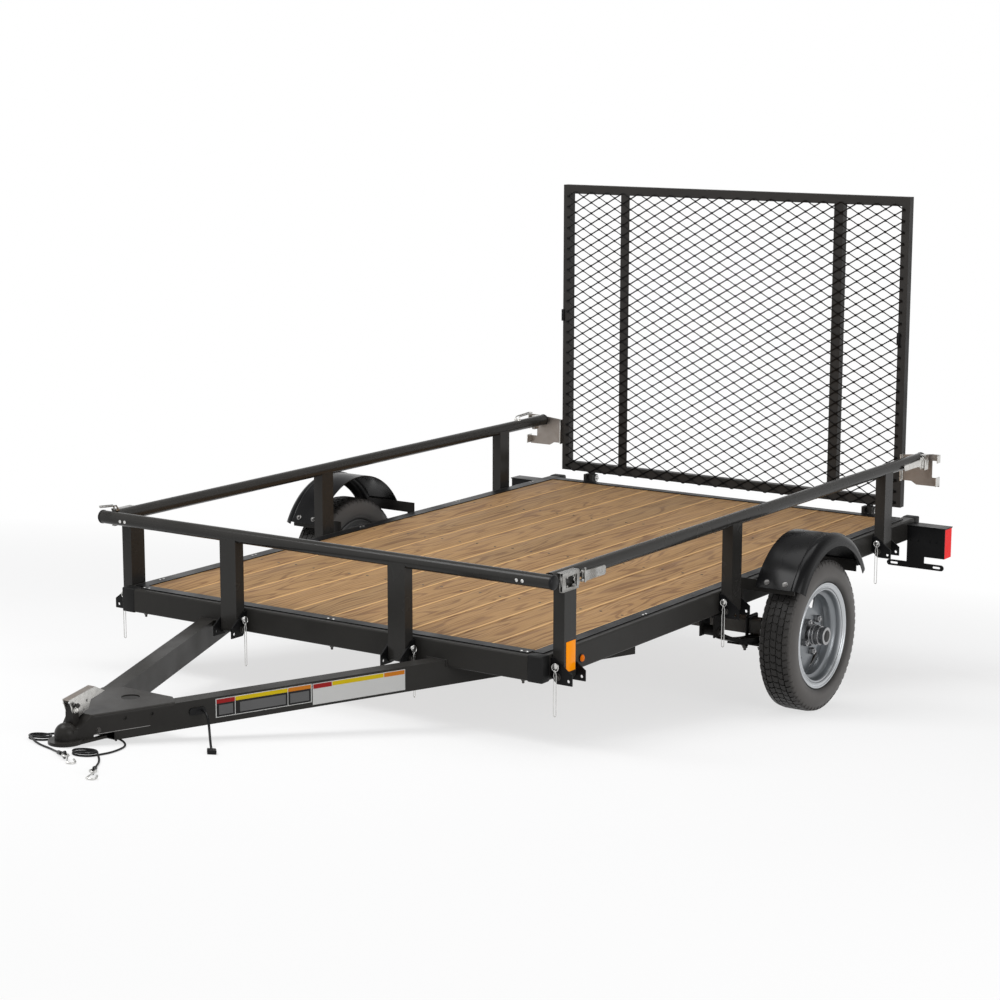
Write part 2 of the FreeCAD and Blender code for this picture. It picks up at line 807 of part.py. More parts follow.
def build_socket():
    """A domed socket for a ball, joined to the plate by a sinking neck over a flared skirt."""
    front = f"({PLATE_FRONT} + neck_length)"
    parts = [neck("Neck", "0", "0")]
    parts.append(slab("NeckFront", (front, "-neck_half_width", LIP_BOTTOM),
                      (DOME_X, "neck_half_width", "-neck_saddle_drop")))
    skirt = [(DOME_X, "skirt_front_half_width"), (f"{DOME_X} - skirt_length", "skirt_rear_half_width")]
    skirt += [(along, f"-{aside}") for along, aside in reversed(skirt)]
    parts.append(prism("NeckSkirt", "plan", LIP_BOTTOM, skirt, "skirt_thickness"))
    pivot = f"({PLATE_FRONT} + latch_pivot_ahead)"
    parts.append(block("LatchPost", (pivot, "0", f"({PLATE_TOP} + latch_hole_rise - neck_saddle_drop) / 2"),
                       ("post_length", "2 * post_half_width",
                        f"{PLATE_TOP} + latch_hole_rise + neck_saddle_drop")))
    rooms = [neck("NeckRoom", "plate_thickness", "cut_overrun")]
    room = [(f"{PLATE_FRONT} + cut_overrun", f"{plate_edge('0')} - plate_thickness"),
            (f"{DOME_X} - skirt_length - cut_overrun", f"{plate_edge('0')} - plate_thickness")]
    room += [(along, f"-({aside})") for along, aside in reversed(room)]
    rooms.append(prism("SkirtRoom", "plan", f"{LIP_BOTTOM} - cut_overrun", room,
                       "skirt_thickness + 2 * cut_overrun"))
    shell = [cut("NeckHollow", fuse("NeckShell", parts), rooms)]
    shell.append(ball("Dome", (DOME_X, "0", "-dome_drop"), "dome_radius"))
    shell.append(rod("DomeSkirt", (DOME_X, "0", LIP_BOTTOM), "Z", "dome_radius", "lip_drop"))
    shell.append(rod("DomeLip", (DOME_X, "0", LIP_BOTTOM), "Z", "lip_radius", "lip_thickness"))
    tools = [ball("Seat", (DOME_X, "0", "-dome_drop"), "socket_radius")]
    tools.append(rod("Mouth", (DOME_X, "0", f"{LIP_BOTTOM} - cut_overrun"), "Z", "socket_radius",
                     "lip_drop + cut_overrun"))
    tools.append(rod("PivotHole", (pivot, "-latch_width", f"{PLATE_TOP} + latch_pivot_rise"), "Y",
                     "latch_pivot_radius + post_gap", "2 * latch_width"))
    keep("coupler_head", cut("CouplerHead", fuse("SocketShell", shell), tools))


def build_latch():
    """A bent steel channel on a pivot, whose handle reaches back over the plate."""
    nose = f"({PLATE_FRONT} + latch_nose)"
    toe = (f"{PLATE_FRONT} + latch_toe", f"{PLATE_TOP} - latch_toe_drop")
    heel = (f"{PLATE_FRONT} - latch_heel", f"{PLATE_TOP} + latch_heel_rise")
    shelf = (f"{PLATE_FRONT} - latch_heel", f"{PLATE_TOP} + latch_shelf_rise")
    tip = f"{PLATE_FRONT} - latch_tip"
    top = f"{PLATE_TOP} + latch_top_rise"
    outline = [(nose, top), toe, heel, shelf, (tip, f"{PLATE_TOP} + latch_tip_rise"),
               (tip, f"{PLATE_TOP} + latch_tip_rise + latch_wall")]
    shell = prism("LatchShell", "side", "latch_width / 2", outline, "latch_width")
    room = [(f"{nose} + cut_overrun", f"{top} - latch_wall"),
            (f"{nose} + cut_overrun", f"{PLATE_TOP} - latch_toe_drop - cut_overrun"),
            (f"{PLATE_FRONT} - latch_tip", f"{PLATE_TOP} - latch_toe_drop - cut_overrun"),
            (f"{PLATE_FRONT} - latch_tip + latch_wall", f"{PLATE_TOP} + latch_tip_rise")]
    hollow = prism("LatchRoom", "side", "latch_width / 2 - latch_wall", room, "latch_width - 2 * latch_wall")
    ahead = f"{PLATE_FRONT} + latch_pivot_ahead"
    sight = rod("LatchHole", (ahead, "-latch_width", f"{PLATE_TOP} + latch_hole_rise"), "Y", "latch_hole_radius",
                "2 * latch_width")
    pivot = rod("LatchPivot", (ahead, "-latch_width / 2 - latch_wall", f"{PLATE_TOP} + latch_pivot_rise"), "Y",
                "latch_pivot_radius", "latch_width + 2 * latch_wall")
    channel = cut("LatchChannel", shell, [hollow, sight])
    keep("coupler_latch", fuse("CouplerLatch", [channel, pivot]))


AXLE_Z = "(-axle_drop)"
LEAF_TOP = "(-axle_drop - axle_side / 2 - spring_seat_gap)"
LEAF_CENTRE = f"({LEAF_TOP} + leaf_arch_radius)"
PACK_BOTTOM = f"({LEAF_TOP} - {LEAF_COUNT} * leaf_thickness)"


def build_axle():
    """A straight square beam with a spindle at each end."""
    beam = box_tube("AxleBeam", ("axle_ahead", "0", AXLE_Z),
                    ["axle_side", "2 * axle_half_length", "axle_side"], "Y", "axle_wall")
    spindles = []
    for side, sign in SIDES.items():
        inner = "axle_half_length - axle_side"
        outer = "tyre_outer_face + hub_reach - hub_cap_radius"
        middle = ("axle_ahead", f"{sign} * (axle_half_length - axle_side / 2)", AXLE_Z)
        spindles.append(block("SpindlePlug" + side, middle,
                              ("axle_side - axle_wall", "axle_side", "axle_side - axle_wall")))
        start = inner if side == "left" else f"-({outer})"
        spindles.append(rod("Spindle" + side, ("axle_ahead", start, AXLE_Z), "Y", "spindle_radius",
                            f"({outer}) - ({inner})"))
    keep("axle", fuse("Axle", [beam] + spindles))


def build_springs():
    """Leaf springs under the axle, their hangers, and the clamps round the beam."""
    hangers = []
    clamps = []
    for side, sign in SIDES.items():
        middle = f"{sign} * {TUBE_MIDDLE}"
        keep(f"leaf_spring_{side}", leaf_pack(side, middle))
        for end, way in (("Front", "1"), ("Rear", "-1")):
            hangers.append(hanger(end + side, f"axle_ahead + {way} * leaf_half_span", middle))
        clamps.append(axle_clamp(side, middle))
    keep("spring_hangers", group("SpringHangers", hangers))
    keep("axle_clamps", group("AxleClamps", clamps))


EYE_Z = f"({LEAF_CENTRE} - sqrt(pow(leaf_arch_radius + leaf_thickness / 2; 2) - pow(leaf_half_span; 2)))"


def leaf_pack(side, middle):
    """Three curved leaves, each shorter than the one above, with eyes on the first."""
    body = new_body("LeafPack" + side)
    half = "leaf_width / 2"
    for index in range(LEAF_COUNT):
        top = f"leaf_arch_radius + {index} * leaf_thickness"
        outline = rectangle(f"{middle} - {half}", f"-({top} + leaf_thickness)",
                            f"{middle} + {half}", f"-({top})")
        profile = sketch(body, f"Leaf{index}{side}", "end", "axle_ahead", [outline], ("0", LEAF_CENTRE))
        revolve(body, profile, f"2 * asin((leaf_half_span - {index} * leaf_step) / ({top}))")
    for end, way in (("Front", "1"), ("Rear", "-1")):
        centre = (f"axle_ahead + {way} * leaf_half_span", EYE_Z)
        pad(body, sketch(body, f"Eye{end}{side}", "side", f"{middle} + {half}",
                         [circle(*centre, "eye_radius")]), "leaf_width")
        pocket(body, sketch(body, f"EyeBore{end}{side}", "side", f"{middle} + {half} + cut_overrun",
                            [circle(*centre, "eye_bore_radius")]), "leaf_width + 2 * cut_overrun", True)
    return body


def hanger(name, ahead, middle):
    """Two cheeks and a bolt that hold a spring's eye under the side tube."""
    inside = "leaf_width + 2 * hanger_gap"
    outer = block("HangerOuter" + name, (ahead, middle, f"(-tube_height + {EYE_Z} - eye_radius) / 2"),
                  ("hanger_length", f"{inside} + 2 * hanger_wall", f"-tube_height - ({EYE_Z} - eye_radius)"))
    room = block("HangerRoom" + name,
                 (ahead, middle, f"(-tube_height - hanger_wall + {EYE_Z} - eye_radius - cut_overrun) / 2"),
                 ("hanger_length + cut_overrun", inside,
                  f"-tube_height - hanger_wall - ({EYE_Z} - eye_radius - cut_overrun)"))
    bolt = rod("HangerBolt" + name, (ahead, f"{middle} - ({inside}) / 2 - hanger_wall", EYE_Z), "Y",
               "eye_bore_radius - hanger_gap / 2", f"{inside} + 2 * hanger_wall")
    return fuse("Hanger" + name, [cut("HangerShell" + name, outer, [room]), bolt])


def axle_clamp(side, middle):
    """A plate under the leaves and two bolts bent over the axle beam."""
    reach = "(axle_side / 2 + clamp_gap + clamp_bolt_radius)"
    aside = "(leaf_width / 2 + clamp_gap + clamp_bolt_radius)"
    top = f"({AXLE_Z} + axle_side / 2 + clamp_gap + clamp_bolt_radius)"
    parts = [block("ClampPlate" + side, ("axle_ahead", middle, f"{PACK_BOTTOM} - clamp_plate_thickness / 2"),
                   ("clamp_plate_length", f"2 * {aside} + 3 * clamp_bolt_radius", "clamp_plate_thickness"))]
    low = f"({PACK_BOTTOM} - clamp_plate_thickness - clamp_bolt_radius)"
    for across in ("1", "-1"):
        place = f"{middle} + {across} * {aside}"
        name = f"ClampBar{side}{across}".replace("-", "m")
        parts.append(rod(name, (f"axle_ahead - {reach}", place, top), "X", "clamp_bolt_radius", f"2 * {reach}"))
        for along in ("1", "-1"):
            name = f"ClampLeg{side}{across}{along}".replace("-", "m")
            parts.append(rod(name, (f"axle_ahead + {along} * {reach}", place, low), "Z",
                             "clamp_bolt_radius", f"{top} - {low}"))
            parts.append(ball(name + "Bend", (f"axle_ahead + {along} * {reach}", place, top),
                              "clamp_bolt_radius"))
    return fuse("AxleClamp" + side, parts)


WHEEL_MIDDLE = "(tyre_outer_face - tyre_width / 2)"


def wheel_profile(points, side):
    """An outline of radius over distance from the wheel's middle, outwards."""
    sign = SIDES[side]
    return [(f"{sign} * ({WHEEL_MIDDLE} + {aside})", radius) for aside, radius in points]


def turned(body, name, outline):
    """Adds a full turn of an outline about the wheel's axle."""
    profile = sketch(body, name, "end", "axle_ahead", [outline], ("0", AXLE_Z))
    return revolve(body, profile, str(FULL_TURN))


def build_wheels():
    """Tyre, spoked wheel and hub on each side."""
    for side in SIDES:
        build_tyre(side)
        build_rim(side)
        build_hub(side)


def both_ways(points):
    """A half outline followed by its mirror image across the wheel's middle."""
    return [(aside, radius) for aside, radius in points] + [
        (f"-({aside})", radius) for aside, radius in reversed(points)]


def build_tyre(side):
    """A tyre with a flat tread, round shoulders and full sidewalls."""
    bead = "(rim_width / 2 - rim_wall)"
    half = "(tyre_width / 2)"
    tread = "(tyre_tread_width / 2)"
    depth = "(tyre_radius - bead_radius)"
    points = [
        (bead, "bead_radius + rim_gap"),
        (bead, "rim_radius + rim_gap"),
        (f"{half} - tyre_crown_drop", f"bead_radius + {depth} * sidewall_low_share"),
        (half, f"bead_radius + {depth} * sidewall_high_share"),
        (f"{half} - tyre_crown_drop / 2", "tyre_radius - tyre_shoulder_depth"),
        (tread, "tyre_radius - tyre_crown_drop"),
        (f"{tread} / 2", "tyre_radius"),
    ]
    body = new_body("Tyre" + side)
    turned(body, "TyreSection" + side, wheel_profile(both_ways(points), side))
    keep(f"tyre_{side}", body)


def build_rim(side):
    """A drop-centre rim welded to a dished disc with five windows."""
    edge = "(rim_width / 2)"
    outer = [
        (edge, "rim_radius"),
        (f"{edge} - rim_wall", "rim_radius"),
        (f"{edge} - rim_wall", "bead_radius"),
        (f"{edge} - rim_width / 4", "bead_radius - rim_wall / 2"),
        (f"{edge} - rim_width / 3", "bead_radius - rim_well_depth"),
    ]
    inner = [
        (edge, "bead_radius - rim_wall"),
        (f"{edge} - rim_width / 4 + rim_wall / 2", "bead_radius - 3 * rim_wall / 2"),
        (f"{edge} - rim_width / 3 + rim_wall / 2", "bead_radius - rim_well_depth - rim_wall"),
    ]
    outline = both_ways(outer) + [(f"-({aside})", radius) for aside, radius in inner] + list(reversed(inner))
    body = new_body("Rim" + side)
    turned(body, "RimSection" + side, wheel_profile(outline, side))
    face = f"({edge} - disc_inset)"
    well = "(bead_radius - rim_well_depth - rim_wall / 2)"
    disc = [
        (face, "disc_bore_radius"),
        (face, "window_inner_radius - disc_thickness"),
        (f"{face} - disc_dish", well),
        (f"{face} - disc_dish - disc_thickness", well),
        (f"{face} - disc_thickness", "window_inner_radius - disc_thickness"),
        (f"{face} - disc_thickness", "disc_bore_radius"),
    ]
    last = turned(body, "DiscSection" + side, wheel_profile(disc, side))
    doc.recompute()
    window = [
        ("axle_ahead", "-axle_drop + window_inner_radius"),
        ("axle_ahead + window_half_width", "-axle_drop + window_outer_radius - rim_wall"),
        ("axle_ahead - window_half_width", "-axle_drop + window_outer_radius - rim_wall"),
    ]
    reach = f"{WHEEL_MIDDLE} + tyre_width"
    start = f"{SIDES[side]} * ({reach})" if side == "left" else f"-({WHEEL_MIDDLE} - tyre_width)"
    slot = pocket(body, sketch(body, "Window" + side, "side", start, [window]), "2 * tyre_width", True)
    doc.recompute()
    return finish_rim(side, body, slot, last)


def finish_rim(side, body, slot, last):
    """Repeats the window round the wheel."""
    pattern = body.newObject("PartDesign::PolarPattern", "Windows" + side)
    pattern.Originals = [slot]
    pattern.Axis = (last.Profile[0], ["H_Axis"])
    pattern.Angle = FULL_TURN
    pattern.Occurrences = WINDOW_COUNT
    body.Tip = pattern
    keep(f"wheel_rim_{side}", body)


def build_hub(side):
    """A hub turned about the spindle, with its dust cap and five lug nuts."""
    face = "(rim_width / 2 - disc_inset)"
    inside = f"({face} - disc_thickness)"
    cap = "(tyre_width / 2 + hub_reach)"
    bore = "(spindle_radius + spindle_gap)"
    outline = [
        (f"{inside} - hub_inner_reach", bore),
        (f"{inside} - hub_inner_reach", "disc_bore_radius"),
        (f"{inside} - hub_flange_thickness", "disc_bore_radius"),
        (f"{inside} - hub_flange_thickness", "hub_flange_radius"),
        (inside, "hub_flange_radius"),
        (inside, "hub_barrel_radius"),
        (f"{cap} - hub_cap_radius", "hub_barrel_radius"),
        (f"{cap} - hub_cap_radius", "hub_cap_radius"),
        (cap, "hub_cap_radius"),
        (cap, "hub_cap_radius / 2"),
        (f"{cap} - hub_cap_radius / 3", "hub_cap_radius / 3"),
        (f"{cap} - hub_cap_radius / 3", bore),
    ]
    body = new_body("Hub" + side)
    turned(body, "HubSection" + side, wheel_profile(outline, side))
    nuts = [body]
    for index in range(WINDOW_COUNT):
        turn = math.radians(FULL_TURN * (index + 1 / 2) / WINDOW_COUNT)
        across = f"axle_ahead + lug_circle_radius * {math.sin(turn):.6f}"
        up = f"-axle_drop + lug_circle_radius * {math.cos(turn):.6f}"
        start = f"{WHEEL_MIDDLE} + {face}"
        start = start if side == "left" else f"-({start} + lug_height)"
        nuts.append(rod(f"LugNut{side}{index}", (across, start, up), "Y", "lug_radius", "lug_height"))
    keep(f"wheel_hub_{side}", group("WheelHub" + side, nuts))


def build_fenders():
    """Rolled fenders over the tyres and the bars that carry them."""
    arms = []
    low = "(fender_radius - fender_wall)"
    lip = "(fender_radius - fender_lip_drop)"
    bead_out = "(fender_outer_face - fender_bead_inset)"
    bead_in = f"({bead_out} - fender_bead_width)"
    points = [
        ("fender_inner_face", low), ("fender_inner_face", "fender_radius"),
        (bead_in, "fender_radius"), (bead_in, "fender_radius + fender_bead_height"),
        (bead_out, "fender_radius + fender_bead_height"), (bead_out, "fender_radius"),
        ("fender_outer_face", "fender_radius"), ("fender_outer_face", lip),
        ("fender_outer_face - fender_wall", lip), ("fender_outer_face - fender_wall", low),
    ]
    for side, sign in SIDES.items():
        body = new_body("Fender" + side)
        outline = [(f"{sign} * ({aside})", radius) for aside, radius in points]
        profile = sketch(body, "FenderSection" + side, "end", "axle_ahead", [outline],
                         ("0", "-fender_centre_drop"))
        revolve(body, profile, "fender_angle")
        keep(f"fender_{side}", body)
        for end, way in (("Front", "1"), ("Rear", "-1")):
            arms.append(fender_arm(end + side, sign, way))
    keep("fender_arms", group("FenderArms", arms))


def fender_arm(name, sign, way):
    """A flat bar from the side tube, bolted under one end of a fender."""
    offset = "(fender_radius * arm_place_share)"
    inside = "(fender_radius - fender_wall - rim_gap)"
    top = f"(-fender_centre_drop + sqrt(pow({inside}; 2) - pow({offset}; 2)))"
    end = "(fender_outer_face - fender_wall - arm_width)"
    middle = f"axle_ahead + {way} * ({offset} - arm_wall / 2)"
    aside = f"{sign} * (frame_half_width + {end}) / 2"
    bar = block("Arm" + name, (middle, aside, f"{top} - arm_height / 2"),
                ("arm_wall", f"{end} - frame_half_width", "arm_height"))
    aside = f"{sign} * (frame_half_width + arm_width / 2)"
    foot = block("ArmFoot" + name, (middle, aside, f"({top} - tube_height) / 2"),
                 ("arm_wall", "arm_width", f"{top} + tube_height"))
    return fuse("FenderArm" + name, [bar, foot])


RAIL_MIDDLE = "(frame_half_width + post_stand_off)"
FRONT_RAIL_X = f"({FRONT_FACE} + post_stand_off)"
POSTS_AHEAD = ("corner_post_ahead", "mid_post_ahead", "rear_post_ahead")


def post(name, ahead, aside, extent, rail):
    """A hollow upright under a rail, round at its foot about the hinge bolt."""
    axis = "X" if extent[0] == "post_width" else "Y"
    back = f"{ahead} - post_width / 2"
    foot_start = (back, aside) if axis == "X" else (ahead, f"{aside} - post_width / 2")
    shell = block("Post" + name, (ahead, aside, "(rail_height - pivot_drop) / 2"),
                  (extent[0], extent[1], "rail_height + pivot_drop"))
    foot = rod("PostFoot" + name, (*foot_start, "-pivot_drop"), axis, "post_depth / 2", "post_width")
    bore = block("PostBore" + name, (ahead, aside, "(rail_height - pivot_drop) / 2"),
                 (f"{extent[0]} - 2 * post_wall", f"{extent[1]} - 2 * post_wall",
                  "rail_height + pivot_drop + post_depth + cut_overrun"))
    hole_start = (f"{ahead} - post_width", aside) if axis == "X" else (ahead, f"{aside} - post_width")
    hole = rod("PostHole" + name, (*hole_start, "-pivot_drop"), axis, "pivot_radius + pivot_gap",
               "2 * post_width")
    return cut("PostShell" + name, fuse("PostBlank" + name, [shell, foot]), [bore, hole, rail])


def rail_tube(name, start, axis, length):
    """A round tube, and the same bar solid to trim the posts with."""
    longer = [text for text in start]
    longer["XYZ".index(axis)] += " - cut_overrun"
    bar = rod(name + "Bar", start, axis, "rail_radius", length)
    bore = rod(name + "Bore", longer, axis, "rail_radius - rail_wall", f"{length} + 2 * cut_overrun")
    trim = rod(name + "Trim", start, axis, "rail_radius", length)
    return cut(name + "Tube", bar, [bore]), trim


def build_rails():
    """Both side rails and the front rail, each a tube on its posts."""
    for side, sign in SIDES.items():
        aside = f"{sign} * {RAIL_MIDDLE}"
        end = f"({FRONT_RAIL_X} - rail_radius - rail_corner_gap)"
        tube, trim = rail_tube("Rail" + side, ["rail_rear_end", aside, "rail_height"], "X",
                               f"{end} - rail_rear_end")
        posts = [post(f"{side}{index}", ahead, aside, ("post_width", "post_depth"), trim)
                 for index, ahead in enumerate(POSTS_AHEAD)]
        keep(f"side_rail_{side}", fuse("SideRail" + side, [tube] + posts))
    half = f"({RAIL_MIDDLE} + rail_radius + rail_corner_gap * 2)"
    tube, trim = rail_tube("RailFront", [FRONT_RAIL_X, f"-{half}", "rail_height"], "Y", f"2 * {half}")
    posts = [post("Front" + side, FRONT_RAIL_X, f"{sign} * front_post_aside",
                  ("post_depth", "post_width"), trim) for side, sign in SIDES.items()]
    keep("front_rail", fuse("FrontRail", [tube] + posts))


def bracket_places():
    """Where each bracket stands, which way it faces, and which ear holds its pin."""
    places = []
    for side, sign in SIDES.items():
        turn = 0 if side == "left" else FULL_TURN / 2
        for index, ahead in enumerate(POSTS_AHEAD):
            places.append((f"{side}{index}", ahead, f"{sign} * frame_half_width", turn, SIGNS[side]))
        places.append((f"Front{side}", FRONT_FACE, f"{sign} * front_post_aside", -FULL_TURN / 4, -1))
    return places


def build_brackets():
    """Eight brackets, each of two ears with a hinge bolt, and their lock pins."""
    brackets = []
    pins = []
    for name, ahead, aside, turn, way in bracket_places():
        for item in (bracket("Bracket" + name), lock_pin("LockPin" + name, way)):
            item.Placement.Rotation = Rotation(Vector(0, 0, 1), turn)
            bind(item, ".Placement.Base.x", ahead)
            bind(item, ".Placement.Base.y", aside)
            (brackets if item.Name.startswith("Bracket") else pins).append(item)
    keep("rail_brackets", group("RailBrackets", brackets))
    keep("lock_pins", group("LockPins", pins))


def bracket(name):
    """Two ears on a plate, drawn with the tube's face at Y = 0 and its bolt along X."""
    body = new_body(name)
    inside = "(post_width / 2 + ear_gap)"
    ear = [
        ("0", "-ear_top_drop"), ("ear_top_width", "-ear_top_drop"), ("ear_reach", "-ear_nose_drop"),
        ("ear_reach", "-ear_foot_drop"), ("ear_heel", "-ear_foot_drop"),
        ("0", "-ear_foot_drop + ear_heel"),
    ]
    back = rectangle("0", "-ear_foot_drop + ear_heel", "bracket_plate", "-ear_top_drop")
    pad(body, sketch(body, name + "Plate", "end", f"-{inside} - ear_thickness", [back]),
        f"2 * ({inside} + ear_thickness)")
    for index, start in enumerate((f"-{inside} - ear_thickness", inside)):
        holes = [circle("ear_reach - ear_hole_inset", "-ear_foot_drop + ear_hole_inset", "ear_hole_radius"),
                 circle("post_stand_off", "-lock_pin_drop", "lock_pin_radius + clamp_gap")]
        pad(body, sketch(body, f"{name}Ear{index}", "end", start, [ear] + holes), "ear_thickness")
    pad(body, sketch(body, name + "Bolt", "end", f"-{inside} - 2 * ear_thickness",
                     [circle("post_stand_off", "-pivot_drop", "pivot_radius")]),
        f"2 * ({inside} + 2 * ear_thickness)")
    return body


def lock_pin(name, way):
    """The pin's head and its shank in the ear, short of the post so that it folds."""
    body = new_body(name)
    start = "(post_width / 2 + ear_gap / 2)"
    low = start if way > 0 else f"-{start} - lock_pin_length"
    head = f"{start} + lock_pin_length - ear_thickness" if way > 0 else f"-{start} - lock_pin_length"
    place = ("post_stand_off", "-lock_pin_drop")
    shank = sketch(body, name + "Shank", "end", low, [circle(*place, "lock_pin_radius")])
    pad(body, shank, "lock_pin_length")
    collar = sketch(body, name + "Head", "end", head, [circle(*place, "lock_pin_radius * 2")])
    pad(body, collar, "ear_thickness")
    return body


GATE_BACK = "(gate_front_face - gate_angle_wall)"


def build_gate():
    """The ramp gate: an angle frame, two uprights, its mesh and hinge lugs."""
    leg = "gate_angle_leg"
    wall = "gate_angle_wall"
    middle_z = "(gate_top_rise + gate_bottom_rise) / 2"
    height = "(gate_top_rise - gate_bottom_rise)"
    outer = slab("GateOuter", (f"gate_front_face - {leg}", "-gate_half_width", "gate_bottom_rise"),
                 ("gate_front_face", "gate_half_width", "gate_top_rise"))
    opening = block("GateOpening", ("gate_front_face", "0", middle_z),
                    (f"2 * ({leg} + cut_overrun)", f"2 * (gate_half_width - {leg})",
                     f"{height} - 2 * {leg}"))
    behind = slab("GateBehind", (f"gate_front_face - {leg} - cut_overrun", f"-gate_half_width + {wall}",
                                 f"gate_bottom_rise + {wall}"),
                  (GATE_BACK, f"gate_half_width - {wall}", f"gate_top_rise - {wall}"))
    lugs = []
    for side, sign in SIDES.items():
        middle = f"{sign} * hinge_aside"
        lugs.append(hinge_leaf("GateLug" + side, middle, "gate_bottom_rise"))
    frame = cut("GateRing", outer, [opening, behind])
    bores = []
    for side, sign in SIDES.items():
        start = ("-hinge_behind", f"{sign} * hinge_aside - hinge_lug_width", "hinge_rise")
        bores.append(rod("LugBore" + side, start, "Y", "hinge_pin_radius + pivot_gap / 2",
                         "2 * hinge_lug_width"))
    keep("gate_frame", cut("GateFrame", fuse("GateFrameBlank", [frame] + lugs), bores))
    build_uprights(middle_z, height)
    build_mesh()
    build_hinge_lugs()
    build_catches()


def hinge_leaf(name, middle, top):
    """A lug that hangs from a height down to the hinge pin, round at its end."""
    plate = block(name + "Plate", ("-hinge_behind", middle, f"({top} + hinge_rise) / 2"),
                  ("2 * hinge_lug_radius", "hinge_lug_width", f"{top} - hinge_rise"))
    eye = rod(name + "Eye", ("-hinge_behind", f"{middle} - hinge_lug_width / 2", "hinge_rise"), "Y",
              "hinge_lug_radius", "hinge_lug_width")
    return fuse(name, [plate, eye])


def build_uprights(middle_z, height):
    """Two angles that stand behind the mesh."""
    uprights = []
    inner_height = f"({height}) - 2 * gate_angle_leg"
    for side, sign in SIDES.items():
        outer = block("Upright" + side, ("gate_front_face - gate_angle_leg / 2", f"{sign} * gate_upright_aside",
                                         middle_z), ("gate_angle_leg", "gate_upright_width", inner_height))
        room = block("UprightRoom" + side,
                     (f"{GATE_BACK} - gate_angle_leg / 2",
                      f"{sign} * (gate_upright_aside - gate_angle_wall)", middle_z),
                     ("gate_angle_leg", "gate_upright_width", f"{inner_height} + cut_overrun"))
        uprights.append(cut("GateUpright" + side, outer, [room]))
    keep("gate_uprights", group("GateUprights", uprights))


def build_mesh():
    """Expanded steel: two layers of slanting strands, clipped to the frame."""
    lap = size("mesh_edge_lap")
    reach = size("gate_half_width") - size("gate_angle_leg") + lap
    low = size("gate_bottom_rise") + size("gate_angle_leg") - lap
    high = size("gate_top_rise") - size("gate_angle_leg") + lap
    slope = size("mesh_pitch_height") / size("mesh_pitch_width")
    half = size("strand_width") / 2 * math.sqrt(1 + slope ** 2)
    pitch = size("mesh_pitch_height")
    count = int((high - low + 2 * reach * slope) / pitch) + 1
    strands = []
    for layer, way in enumerate((1, -1)):
        front = size("gate_front_face") + size("strand_gap") + layer * (
            size("strand_thickness") + size("strand_gap"))
        for index in range(count):
            middle = low - reach * slope + index * pitch
            outline = strand_outline(middle, half, slope * way, reach, low, high)
            if outline:
                corners = [Vector(front, aside, up) for aside, up in outline]
                face = Part.Face(Part.makePolygon(corners + corners[:1]))
                strands.append(face.extrude(Vector(size("strand_thickness"), 0, 0)))
    item = doc.addObject("Part::Feature", "GateMesh")
    item.Shape = Part.makeCompound(strands)
    keep("gate_mesh", item)


def strand_outline(middle, half, slope, reach, low, high):
    """The corners of one slanting strand inside the frame, or nothing."""
    corners = [(-reach, middle - half - slope * reach), (reach, middle - half + slope * reach),
               (reach, middle + half + slope * reach), (-reach, middle + half - slope * reach)]
    for limit, sign in ((low, 1), (high, -1)):
        corners = clipped(corners, limit, sign)
    return corners if len(corners) > 2 else []


def clipped(corners, limit, sign):
    """A convex outline cut off at a height, keeping what is above it or below."""
    result = []
    for (y_start, z_start), (y_end, z_end) in zip(corners, corners[1:] + corners[:1]):
        start_in = sign * (z_start - limit) > 0
        end_in = sign * (z_end - limit) > 0
        if start_in:
            result.append((y_start, z_start))
        if start_in != end_in:
            share = (limit - z_start) / (z_end - z_start)
            result.append((y_start + share * (y_end - y_start), limit))
    return result


def build_hinge_lugs():
    """Pairs of lugs on the rear member with a pin through each pair."""
    parts = []
    for side, sign in SIDES.items():
        offset = "(hinge_lug_width + hinge_lug_gap)"
        lugs = []
        for index, way in enumerate(("1", "-1")):
            middle = f"{sign} * hinge_aside + {way} * {offset}"
            name = f"FixedLug{side}{index}"
            plate = block(name + "Plate", (f"(-hinge_behind + {REAR_FACE}) / 2", middle, "hinge_rise"),
                          (f"hinge_behind + {REAR_FACE}", "hinge_lug_width", "2 * hinge_lug_radius"))
            eye = rod(name + "Eye", ("-hinge_behind", f"{middle} - hinge_lug_width / 2", "hinge_rise"), "Y",
                      "hinge_lug_radius", "hinge_lug_width")
            foot = slab(name + "Foot", (f"{REAR_FACE} - cross_wall", f"{middle} - hinge_lug_width / 2",
                                        "-tube_height / 2"),
                        (REAR_FACE, f"{middle} + hinge_lug_width / 2", "hinge_rise"))
            lugs += [plate, eye, foot]
        span = f"(3 * hinge_lug_width + 2 * hinge_lug_gap)"
        lugs.append(rod("HingePin" + side, ("-hinge_behind", f"{sign} * hinge_aside - {span} / 2", "hinge_rise"),
                        "Y", "hinge_pin_radius", span))
        parts.append(fuse("HingeLugs" + side, lugs))
    keep("gate_hinge_lugs", group("GateHingeLugs", parts))


